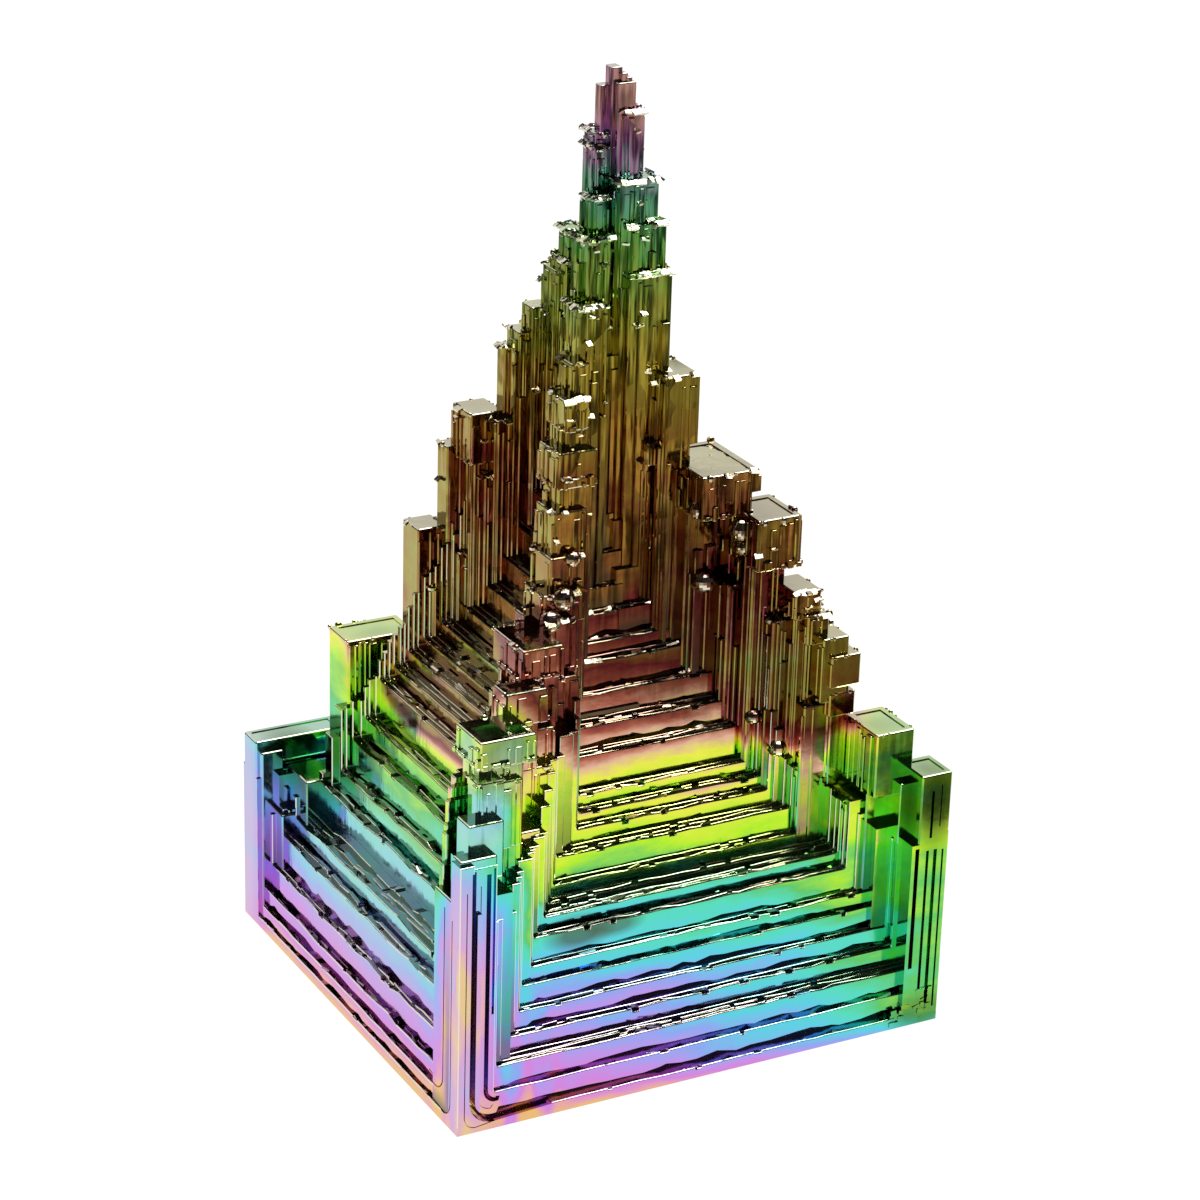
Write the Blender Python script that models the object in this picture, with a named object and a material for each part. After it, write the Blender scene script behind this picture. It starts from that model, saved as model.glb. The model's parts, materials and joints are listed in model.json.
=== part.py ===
"""A bismuth hopper crystal: one stepped metal pyramid that grew in a pool of molten bismuth.

The crystal stands on its flat base, with the origin at the centre of that base and +Z up. Seen from above
it is a rectangle with a raised ridge on each diagonal. The ridges are stacks of square-edged blocks, and
between them each face steps inwards and upwards as a flight of terraces, up to a spire of thin columns.

Run it with: blender --background --python part.py
"""

import bmesh
import bpy
from mathutils import Vector

MM = 0.001

# Driving dimensions, in millimetres.
BASE_X = 40.0
BASE_Y = 38.0
BASE_SLAB_TOP = 0.7
ROOT = 0.4  # everything grows from inside the base slab, this far above the underside
PAST_AXIS = 0.3  # a terrace runs this far past the middle of the crystal
STRIP_REACH = 0.4  # a side strip runs this far into the ridge behind it
# Each solid's underside is this much higher than the last one's, so that no two lie in one plane.
TERRACE_STAGGER = 0.005
BLOCK_STAGGER = 0.003
COLUMN_STAGGER = 0.007

NODE_NAME = "hopper_crystal"

# A face is a flight of terraces, from the bottom up. Each wall goes on upwards past both ends of its ledge,
# as a side strip. Each row is
# (how far the wall stands in from the base's edge, height of the ledge on top of it,
#  ledge's distance from the face's left corner and from its right corner,
#  height of the left strip and of the right strip),
# with left and right as they are seen from outside.
SOUTH_TERRACES = [
    (0.0, 0.9, 1.1, 0.5, 21.0, 15.8),
    (0.3, 2.7, 3.0, 1.4, 20.6, 15.6),
    (0.6, 4.5, 3.3, 2.4, 16.0, 15.4),
    (1.6, 6.0, 4.8, 2.9, 14.6, 15.0),
    (2.2, 7.5, 5.8, 3.5, 17.7, 14.8),
    (2.7, 9.2, 6.3, 3.9, 18.3, 14.6),
    (3.1, 10.3, 7.2, 4.1, 18.9, 14.4),
    (3.6, 12.3, 7.6, 6.5, 19.3, 17.8),
    (4.4, 13.3, 8.8, 6.8, 19.7, 17.6),
    (6.4, 14.5, 10.6, 7.2, 23.5, 18.6),
    (7.0, 16.4, 11.1, 9.5, 24.2, 19.7),
    (8.0, 17.7, 13.2, 10.9, 25.5, 24.0),
    (8.7, 18.6, 13.7, 11.1, 26.1, 29.8),
    (9.5, 19.6, 14.1, 11.3, 27.2, 30.6),
    (10.3, 22.2, 14.4, 12.0, 28.5, 31.1),
    (11.2, 24.0, 14.7, 12.9, 29.5, 31.5),
    (12.2, 26.0, 15.6, 13.4, 30.4, 32.3),
    (13.0, 28.2, 16.0, 15.1, 32.0, 32.8),
    (13.8, 29.3, 16.4, 15.7, 33.6, 36.0),
    (14.5, 31.2, 16.7, 16.0, 35.0, 38.8),
    (15.1, 33.0, 16.9, 16.4, 38.0, 40.6),
    (15.7, 35.3, 17.0, 16.7, 41.0, 43.0),
    (16.2, 37.4, 17.1, 17.0, 43.5, 45.6),
    (16.6, 44.0, 17.2, 17.3, 47.3, 47.9),
    (17.1, 49.0, 17.5, 17.5, 51.0, 51.4),
]
WEST_TERRACES = [
    (0.0, 0.8, 1.2, 1.3, 13.0, 17.2),
    (0.2, 1.9, 2.6, 4.0, 13.4, 17.8),
    (0.5, 3.3, 3.0, 4.4, 12.2, 19.5),
    (0.9, 5.4, 3.4, 4.8, 9.7, 21.6),
    (1.4, 8.3, 4.4, 5.4, 10.5, 23.7),
    (2.2, 9.9, 5.0, 6.2, 11.6, 25.1),
    (3.8, 13.1, 6.4, 7.8, 13.9, 24.1),
    (4.5, 14.9, 8.4, 8.4, 19.9, 24.7),
    (5.2, 17.6, 8.9, 9.2, 20.7, 25.3),
    (6.0, 19.4, 9.4, 10.0, 21.9, 26.2),
    (6.9, 22.6, 10.0, 10.7, 24.1, 27.1),
    (7.8, 23.8, 10.6, 11.3, 26.3, 28.5),
    (8.7, 25.1, 11.2, 12.0, 28.6, 29.6),
    (9.7, 26.2, 11.8, 12.7, 31.1, 30.7),
    (10.8, 27.5, 12.4, 13.3, 33.5, 31.9),
    (12.0, 29.1, 13.0, 13.9, 36.1, 33.4),
    (13.1, 31.2, 13.6, 14.5, 39.1, 36.2),
    (14.2, 33.4, 14.1, 15.0, 41.7, 38.7),
    (15.2, 35.8, 14.6, 15.5, 43.8, 41.2),
    (16.1, 38.6, 15.1, 16.0, 46.1, 44.1),
    (16.9, 43.1, 15.6, 16.4, 48.9, 47.1),
    (17.5, 48.1, 16.1, 16.8, 50.6, 50.1),
]
NORTH_TERRACES = [
    (0.0, 1.2, 2.4, 1.6, 13.8, 12.6),
    (0.3, 2.4, 3.6, 2.8, 14.4, 13.1),
    (0.7, 4.2, 4.0, 3.4, 13.3, 11.7),
    (1.4, 6.6, 4.6, 4.1, 12.4, 10.6),
    (2.3, 8.2, 5.2, 4.9, 14.2, 11.4),
    (3.2, 10.8, 6.0, 5.8, 15.9, 13.0),
    (4.4, 12.6, 7.0, 8.2, 18.1, 16.2),
    (5.6, 15.4, 8.0, 8.8, 20.3, 19.0),
    (6.6, 17.3, 8.9, 9.6, 22.4, 21.2),
    (7.8, 20.0, 9.8, 10.4, 23.9, 23.1),
    (8.8, 21.8, 10.8, 11.3, 26.9, 26.4),
    (10.0, 24.4, 11.7, 12.3, 29.9, 29.2),
    (11.2, 26.7, 12.6, 13.2, 32.2, 31.7),
    (12.3, 29.4, 13.4, 14.0, 34.9, 34.3),
    (13.3, 31.6, 14.3, 14.8, 37.2, 38.3),
    (14.4, 34.7, 15.0, 15.5, 39.7, 42.2),
    (15.4, 38.2, 15.8, 16.2, 42.7, 45.3),
    (16.2, 43.4, 16.4, 16.9, 47.0, 48.4),
    (16.9, 48.5, 17.0, 17.4, 50.3, 51.3),
]
EAST_TERRACES = [
    (0.0, 1.1, 2.6, 1.9, 15.0, 12.9),
    (0.3, 2.2, 4.2, 3.2, 15.7, 13.7),
    (0.6, 4.0, 4.8, 3.8, 13.6, 14.1),
    (1.5, 5.8, 5.3, 4.4, 14.3, 13.2),
    (2.1, 8.1, 6.0, 5.0, 16.9, 14.7),
    (3.0, 9.7, 6.6, 5.8, 18.7, 16.3),
    (4.0, 12.2, 7.6, 6.8, 20.1, 18.9),
    (5.4, 14.2, 8.4, 7.7, 22.3, 21.3),
    (6.4, 16.6, 9.4, 8.7, 24.3, 22.9),
    (7.5, 18.3, 10.4, 9.6, 26.1, 24.5),
    (8.6, 21.3, 11.2, 10.6, 28.8, 27.9),
    (9.8, 23.2, 12.0, 11.5, 31.3, 30.2),
    (11.0, 26.1, 12.9, 12.4, 33.1, 32.9),
    (12.4, 28.7, 13.7, 13.2, 36.3, 35.1),
    (13.6, 31.7, 14.4, 14.0, 38.5, 38.1),
    (14.8, 34.5, 15.1, 14.7, 40.9, 41.1),
    (15.9, 38.1, 15.7, 15.5, 43.3, 43.1),
    (16.8, 42.5, 16.2, 16.1, 46.3, 46.7),
    (17.4, 47.1, 16.6, 16.6, 49.1, 49.7),
]

# A ridge is a stack of blocks along a diagonal, from its corner post inwards. Each row is
# (start and end along X, start and end along Y, both measured inwards from the corner,
#  height of the underside and of the top). The blocks whose underside is high overhang what is below.
SOUTH_WEST_BLOCKS = [
    (0.2, 3.0, 0.35, 1.7, ROOT, 21.3),
    (0.1, 1.5, 0.3, 4.3, ROOT, 17.8),
    (1.0, 4.2, 1.9, 5.2, ROOT, 14.0),
    (1.3, 4.0, 1.4, 3.4, 19.0, 23.3),
    (1.9, 5.7, 3.0, 5.6, ROOT, 17.2),
    (2.4, 4.4, 2.3, 4.0, 12.0, 25.9),
    (4.3, 6.1, 2.75, 4.6, 20.4, 25.5),
    (3.2, 6.4, 3.4, 6.3, ROOT, 27.3),
    (2.7, 7.0, 2.6, 6.5, 26.7, 28.8),
    (3.4, 8.6, 4.7, 8.3, ROOT, 20.2),
    (5.2, 10.5, 6.7, 9.6, ROOT, 24.0),
    (6.8, 9.2, 6.8, 8.6, ROOT, 28.2),
    (6.4, 9.6, 6.1, 8.2, 27.7, 30.3),
    (7.1, 11.0, 7.5, 10.9, ROOT, 26.5),
    (9.2, 11.9, 9.0, 12.6, ROOT, 30.2),
    (8.9, 12.1, 8.5, 13.3, 29.8, 32.2),
    (9.5, 14.0, 9.8, 12.9, ROOT, 29.0),
    (10.9, 14.1, 10.6, 13.9, ROOT, 33.1),
    (12.0, 14.9, 11.5, 14.6, ROOT, 34.7),
    (12.9, 15.5, 12.3, 15.2, ROOT, 37.1),
    (13.4, 16.0, 12.8, 15.8, ROOT, 40.3),
    (14.1, 16.5, 13.4, 16.0, ROOT, 42.7),
    (13.8, 16.8, 13.1, 16.3, 41.8, 44.6),
    (14.7, 16.6, 13.9, 16.2, ROOT, 46.9),
    (14.4, 16.4, 13.6, 16.4, 45.9, 48.3),
    (15.5, 16.9, 14.7, 16.6, ROOT, 50.5),
]
SOUTH_EAST_BLOCKS = [
    (0.0, 2.6, 0.0, 3.2, 14.5, 20.5),
    (0.1, 1.3, 0.2, 4.5, ROOT, 15.3),
    (1.3, 2.6, 1.1, 4.0, ROOT, 14.7),
    (2.6, 5.2, 3.3, 6.4, ROOT, 19.1),
    (2.1, 5.3, 2.2, 6.7, 18.3, 23.4),
    (3.3, 6.6, 3.9, 7.2, ROOT, 17.5),
    (5.4, 7.2, 6.2, 8.3, ROOT, 26.6),
    (5.1, 7.3, 5.8, 8.4, 23.7, 25.6),
    (4.9, 7.4, 5.6, 8.6, 26.1, 28.6),
    (5.8, 8.0, 5.9, 9.0, 24.9, 30.0),
    (6.2, 9.2, 6.8, 9.4, ROOT, 19.5),
    (6.6, 9.1, 6.3, 9.9, ROOT, 24.7),
    (7.3, 8.7, 7.2, 9.8, ROOT, 30.1),
    (7.0, 8.8, 6.9, 10.0, 29.2, 31.6),
    (7.8, 9.5, 7.7, 10.5, ROOT, 32.2),
    (7.5, 9.7, 7.3, 10.7, 31.2, 33.4),
    (8.5, 10.9, 8.3, 11.4, ROOT, 31.0),
    (9.5, 12.1, 9.5, 13.0, ROOT, 36.3),
    (8.8, 12.4, 8.4, 13.1, 35.0, 39.0),
    (10.7, 13.2, 11.0, 14.4, ROOT, 33.2),
    (13.1, 15.8, 12.9, 16.2, ROOT, 40.4),
    (11.2, 15.9, 10.6, 17.4, 38.7, 42.1),
    (14.6, 17.3, 13.9, 17.6, ROOT, 48.8),
    (15.9, 18.3, 15.0, 17.8, ROOT, 42.3),
    (15.6, 18.3, 14.6, 17.8, 41.9, 43.7),
]
NORTH_WEST_BLOCKS = [
    (0.0, 7.4, 0.2, 2.5, 0.5, 15.6),
    (0.2, 2.0, 0.3, 3.2, ROOT, 14.9),
    (1.1, 5.0, 1.6, 4.9, ROOT, 10.2),
    (2.4, 8.4, 2.9, 6.6, ROOT, 13.5),
    (5.1, 10.7, 4.8, 8.2, ROOT, 25.3),
    (6.1, 9.8, 5.9, 9.3, ROOT, 19.7),
    (7.6, 11.4, 7.0, 10.2, ROOT, 22.7),
    (9.3, 11.6, 8.8, 11.4, ROOT, 34.8),
    (10.2, 13.2, 9.4, 12.2, ROOT, 30.4),
    (11.2, 13.6, 10.6, 12.3, ROOT, 41.3),
    (11.6, 14.7, 11.0, 13.4, ROOT, 33.3),
    (12.4, 14.4, 11.8, 14.3, ROOT, 42.3),
    (12.0, 14.6, 11.4, 14.5, 40.4, 44.4),
    (13.0, 16.0, 12.4, 14.9, ROOT, 39.6),
    (13.6, 16.4, 12.9, 15.6, ROOT, 44.0),
    (14.4, 15.4, 13.7, 14.9, ROOT, 49.4),
    (14.9, 16.6, 14.2, 16.2, ROOT, 50.8),
    (15.7, 17.2, 14.9, 16.7, ROOT, 52.7),
]
NORTH_EAST_BLOCKS = [
    (0.1, 3.6, 0.2, 2.9, 12.6, 18.2),
    (0.3, 1.8, 0.3, 4.6, ROOT, 13.0),
    (0.9, 3.3, 0.8, 3.6, ROOT, 12.8),
    (2.3, 5.4, 2.8, 6.0, ROOT, 20.4),
    (1.9, 5.6, 2.4, 6.2, 19.5, 22.4),
    (3.0, 7.4, 3.6, 7.0, ROOT, 16.6),
    (4.2, 8.4, 4.6, 8.2, ROOT, 26.8),
    (5.6, 9.6, 5.7, 9.3, ROOT, 21.5),
    (6.8, 10.6, 6.6, 10.4, ROOT, 31.2),
    (8.0, 11.8, 7.9, 11.5, ROOT, 27.1),
    (9.2, 12.0, 9.0, 11.9, ROOT, 33.8),
    (8.9, 12.2, 8.7, 12.1, 32.8, 35.6),
    (10.0, 13.9, 9.9, 13.5, ROOT, 32.5),
    (10.9, 13.8, 10.5, 13.8, ROOT, 39.4),
    (12.4, 15.6, 11.9, 15.4, ROOT, 43.9),
    (14.2, 16.8, 13.4, 16.4, ROOT, 47.6),
    (15.6, 17.6, 14.8, 17.2, ROOT, 51.5),
]

# The spire's columns, and the lone columns on the faces: start and end along X, start and end along Y,
# all from the axis, and height of the top.
COLUMNS = [
    (-3.0, 2.8, -2.3, 2.7, 52.1),
    (0.9, 3.7, -3.5, -0.8, 56.2),
    (0.3, 3.3, -3.1, 0.9, 59.7),
    (-0.2, 2.9, -2.7, 0.5, 62.8),
    (0.6, 2.0, -1.9, 0.7, 67.6),
    (0.1, 1.5, -1.5, 0.4, 69.6),
    (-3.2, -1.7, 0.6, 3.0, 55.7),
    (-2.8, -0.5, 0.2, 2.55, 56.6),
    (-2.4, -1.2, 0.0, 2.2, 58.7),
    (-1.1, 0.4, -0.6, 1.1, 64.9),
    (-3.5, -1.3, -3.3, -0.9, 54.2),
    (-2.6, -0.7, -2.5, -0.3, 58.9),
    (-1.7, 0.2, -1.7, 0.3, 61.6),
    (0.4, 2.5, 0.8, 3.1, 54.8),
    (-0.3, 1.9, 0.3, 2.35, 60.6),
    (-0.9, 1.1, -0.1, 1.6, 65.8),
    (-0.6, 0.2, -0.2, 0.7, 69.2),
    (-0.1, 0.7, -0.9, 0.2, 70.6),
    (-5.5, -4.1, 7.6, 9.2, 33.2),
    (-7.3, -6.2, 6.6, 8.1, 36.6),
    (-6.6, -5.7, 5.2, 6.9, 38.9),
    (5.1, 6.7, 7.3, 9.1, 31.0),
]

# Small pits in the tops of blocks, where the edges grew faster than the middle: start and end along X,
# start and end along Y, height of the floor.
PITS = [
    (-16.8, -14.9, -15.9, -13.7, 28.1),
    (-14.6, -13.4, -15.9, -14.6, 28.3),
    (-12.9, -11.0, -12.2, -11.2, 29.8),
    (-10.5, -8.5, -9.9, -6.6, 31.8),
    (15.3, 17.3, -16.1, -13.1, 22.9),
    (18.0, 19.5, -18.4, -16.5, 20.0),
    (4.8, 8.1, -7.7, -2.4, 41.8),
    (8.3, 10.5, -9.9, -6.8, 38.6),
    (-19.4, -13.4, 17.0, 18.3, 15.2),
    (-14.3, -10.0, 11.5, 13.6, 24.9),
    (16.9, 19.3, 16.7, 18.2, 17.7),
    (14.9, 17.6, 13.3, 16.1, 21.9),
]
PIT_REACH = 1.5  # a pit's cutter stands this far above the pit's floor

# Beads of metal that froze on the crystal as it was lifted out: centre and radius.
BEADS = [
    (5.0, -2.4, 42.3, 0.75),
    (4.6, -7.2, 39.3, 0.85),
    (7.5, -8.3, 37.6, 0.9),
    (7.6, -8.4, 36.3, 0.7),
    (5.6, -6.5, 33.3, 1.0),
    (9.8, -10.7, 21.0, 0.9),
    (8.5, -9.5, 23.2, 0.7),
    (-6.6, -7.8, 34.4, 0.8),
    (-7.8, -8.1, 33.0, 0.8),
    (-5.4, -6.8, 36.9, 0.6),
    (-7.4, 8.6, 30.9, 0.7),
]
BEAD_SEGMENTS = 12
BEAD_RINGS = 8


def remove_everything():
    """Empty the scene."""
    for thing in list(bpy.data.objects):
        bpy.data.objects.remove(thing)


def new_collection(name):
    """A collection of that name in the scene."""
    collection = bpy.data.collections.new(name)
    bpy.context.scene.collection.children.link(collection)
    return collection


def add_box(name, low, high, collection):
    """A box between two corners given in millimetres.

    Its corners are set as rounded numbers, so that faces which share a plane share it exactly.
    """
    shape = bmesh.new()
    bmesh.ops.create_cube(shape, size=2.0)
    for corner in shape.verts:
        sides = zip(corner.co, low, high)
        corner.co = [round(first if side < 0 else last, 3) * MM for side, first, last in sides]
    mesh = bpy.data.meshes.new(name)
    shape.to_mesh(mesh)
    shape.free()
    box = bpy.data.objects.new(name, mesh)
    collection.objects.link(box)
    return box


def hide_as_cutter(thing):
    """Show a block that is only used up by the union as a wire."""
    thing.hide_render = True
    thing.display_type = "WIRE"


def add_bead(name, middle, radius, collection):
    """A ball, in millimetres."""
    shape = bmesh.new()
    bmesh.ops.create_uvsphere(
        shape, u_segments=BEAD_SEGMENTS, v_segments=BEAD_RINGS, radius=radius * MM
    )
    mesh = bpy.data.meshes.new(name)
    shape.to_mesh(mesh)
    shape.free()
    bead = bpy.data.objects.new(name, mesh)
    bead.location = Vector(middle) * MM
    collection.objects.link(bead)
    return bead


def face_plan(face, inset, end_inset, left, right):
    """Corners in plan of a stretch of a face.

    It runs from one inset to another, and between distances from the face's left and right corners.
    """
    half_x, half_y = BASE_X / 2, BASE_Y / 2
    if face == "south":
        return (-half_x + left, -half_y + inset), (half_x - right, -half_y + end_inset)
    if face == "west":
        return (-half_x + inset, -half_y + right), (-half_x + end_inset, half_y - left)
    if face == "north":
        return (-half_x + right, half_y - end_inset), (half_x - left, half_y - inset)
    return (half_x - end_inset, -half_y + left), (half_x - inset, half_y - right)


def terraces(face, rows, collection):
    """The flight of terraces on one face, each with the two side strips of its wall."""
    depth, width = (BASE_Y, BASE_X) if face in ("south", "north") else (BASE_X, BASE_Y)
    slope = depth / width
    blocks = []
    reach_left, reach_right = 0.0, 0.0
    for number, (inset, top, left, right, left_top, right_top) in enumerate(rows):
        root = ROOT + TERRACE_STAGGER * number
        low, high = face_plan(face, inset, depth / 2 + PAST_AXIS, reach_left, reach_right)
        name = f"{face}_terrace_{number}"
        blocks.append(add_box(name, (*low, root), (*high, top), collection))
        if left > reach_left:
            end_inset = max(left * slope, inset) + STRIP_REACH
            low, high = face_plan(face, inset, end_inset, reach_left, width - left)
            blocks.append(add_box(f"{name}_left", (*low, root), (*high, left_top), collection))
        if right > reach_right:
            end_inset = max(right * slope, inset) + STRIP_REACH
            low, high = face_plan(face, inset, end_inset, width - right, reach_right)
            blocks.append(add_box(f"{name}_right", (*low, root), (*high, right_top), collection))
        reach_left, reach_right = left, right
    return blocks


def ridge(name, sign_x, sign_y, rows, collection):
    """The stack of blocks on one diagonal. The signs say which corner of the base it starts from."""
    blocks = []
    for number, (start_x, end_x, start_y, end_y, underside, top) in enumerate(rows):
        xs = sorted((sign_x * (BASE_X / 2 - start_x), sign_x * (BASE_X / 2 - end_x)))
        ys = sorted((sign_y * (BASE_Y / 2 - start_y), sign_y * (BASE_Y / 2 - end_y)))
        low = (xs[0], ys[0], underside + BLOCK_STAGGER * number)
        blocks.append(add_box(f"{name}_block_{number}", low, (xs[1], ys[1], top), collection))
    return blocks


def columns(collection):
    """The bundle of columns in the middle, and the lone ones."""
    blocks = []
    for number, (x0, x1, y0, y1, top) in enumerate(COLUMNS):
        low = (x0, y0, ROOT + COLUMN_STAGGER * number)
        blocks.append(add_box(f"column_{number}", low, (x1, y1, top), collection))
    return blocks


def beads(collection):
    """The frozen beads."""
    return [
        add_bead(f"bead_{number}", (x, y, z), radius, collection)
        for number, (x, y, z, radius) in enumerate(BEADS)
    ]


def pits(collection):
    """The cutters of the pits."""
    return [
        add_box(f"pit_{number}", (x0, y0, floor), (x1, y1, floor + PIT_REACH), collection)
        for number, (x0, x1, y0, y1, floor) in enumerate(PITS)
    ]


def oxidised_bismuth():
    """Bismuth with the thin oxide film that colours it."""
    material = bpy.data.materials.new("oxidised_bismuth")
    material.use_nodes = True
    shader = material.node_tree.nodes["Principled BSDF"]
    shader.inputs["Base Color"].default_value = (0.42, 0.62, 0.36, 1.0)
    shader.inputs["Metallic"].default_value = 1.0
    shader.inputs["Roughness"].default_value = 0.18
    return material


def combine(crystal, name, operation, collection):
    """Join all blocks of a collection to the crystal, or cut them from it."""
    boolean = crystal.modifiers.new(name, "BOOLEAN")
    boolean.operation = operation
    boolean.operand_type = "COLLECTION"
    boolean.collection = collection
    boolean.solver = "EXACT"


def main():
    remove_everything()
    crystal_collection = new_collection("bismuth_hopper_crystal")
    growth = new_collection("growth_blocks")
    hollows = new_collection("hollows")

    half_x, half_y = BASE_X / 2, BASE_Y / 2
    crystal = add_box(
        NODE_NAME, (-half_x, -half_y, 0.0), (half_x, half_y, BASE_SLAB_TOP), crystal_collection
    )
    blocks = terraces("south", SOUTH_TERRACES, growth)
    blocks += terraces("west", WEST_TERRACES, growth)
    blocks += terraces("north", NORTH_TERRACES, growth)
    blocks += terraces("east", EAST_TERRACES, growth)
    blocks += ridge("south_west", -1, -1, SOUTH_WEST_BLOCKS, growth)
    blocks += ridge("south_east", 1, -1, SOUTH_EAST_BLOCKS, growth)
    blocks += ridge("north_west", -1, 1, NORTH_WEST_BLOCKS, growth)
    blocks += ridge("north_east", 1, 1, NORTH_EAST_BLOCKS, growth)
    blocks += columns(growth)
    blocks += beads(growth)
    blocks += pits(hollows)
    for block in blocks:
        hide_as_cutter(block)

    combine(crystal, "grown_together", "UNION", growth)
    combine(crystal, "hollow_tops", "DIFFERENCE", hollows)
    crystal.data.materials.append(oxidised_bismuth())


main()
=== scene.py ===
"""A bismuth hopper crystal with its oxide film, on a pale floor.

The crystal grew as one piece of metal. Each face is a flight of terraces: every wall is a thin sheet with a
U-shaped edge, the next one stands a little further in and a little higher, and the corners grew faster than
the middles of the faces. So the corners are ridges of square blocks, and the blocks have sunken tops. The
film on the metal is a few hundredths of a micrometre thick, and its thickness alone makes the colours.
"""

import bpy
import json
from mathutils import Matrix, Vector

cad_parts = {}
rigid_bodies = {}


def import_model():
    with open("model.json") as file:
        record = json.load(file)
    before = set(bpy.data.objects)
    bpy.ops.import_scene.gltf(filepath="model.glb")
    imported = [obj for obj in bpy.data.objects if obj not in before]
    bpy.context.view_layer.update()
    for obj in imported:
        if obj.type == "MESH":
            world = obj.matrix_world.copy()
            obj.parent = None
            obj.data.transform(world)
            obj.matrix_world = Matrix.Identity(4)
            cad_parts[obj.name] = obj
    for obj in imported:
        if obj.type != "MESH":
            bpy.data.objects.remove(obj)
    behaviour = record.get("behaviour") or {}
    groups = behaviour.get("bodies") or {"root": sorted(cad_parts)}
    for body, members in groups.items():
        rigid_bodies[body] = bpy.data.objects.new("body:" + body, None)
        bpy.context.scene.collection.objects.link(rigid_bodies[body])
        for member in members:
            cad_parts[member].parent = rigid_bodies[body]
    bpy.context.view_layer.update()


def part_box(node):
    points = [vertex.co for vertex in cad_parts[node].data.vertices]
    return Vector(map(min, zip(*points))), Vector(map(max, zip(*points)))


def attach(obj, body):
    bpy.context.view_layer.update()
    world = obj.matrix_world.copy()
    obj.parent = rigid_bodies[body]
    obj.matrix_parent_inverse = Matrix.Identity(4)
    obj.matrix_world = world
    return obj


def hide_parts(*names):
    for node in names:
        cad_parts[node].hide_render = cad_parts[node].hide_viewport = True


bl_info = {
    "name": "Bismuth Hopper Crystal",
    "version": (1, 0, 0),
    "blender": (4, 5, 0),
    "location": "3D View > Sidebar > Crystal",
    "description": "Grows a stepped bismuth crystal with an interference-coloured oxide film",
    "category": "Add Mesh",
}

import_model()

import json
import math
import random
from functools import partial

import bmesh
import bpy
import numpy as np
from mathutils import Matrix, Vector

MM = 0.001
NODE = "hopper_crystal"
BODY = "root"

NODE_LOW, NODE_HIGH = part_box(NODE)
BASE_X = round((NODE_HIGH.x - NODE_LOW.x) / MM, 3)
BASE_Y = round((NODE_HIGH.y - NODE_LOW.y) / MM, 3)
HALF_X, HALF_Y = BASE_X / 2, BASE_Y / 2
FACES = ("south", "west", "north", "east")
LONG_FACES = ("south", "north")
SEEDS = {"terraces": 11, "ridges": 23, "foot": 29, "spire": 31, "beads": 41}
FEWEST_FACES = 5000  # a crystal with fewer did not grow together

# All tables below are in millimetres, and hold the same layout as the solid crystal.

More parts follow.
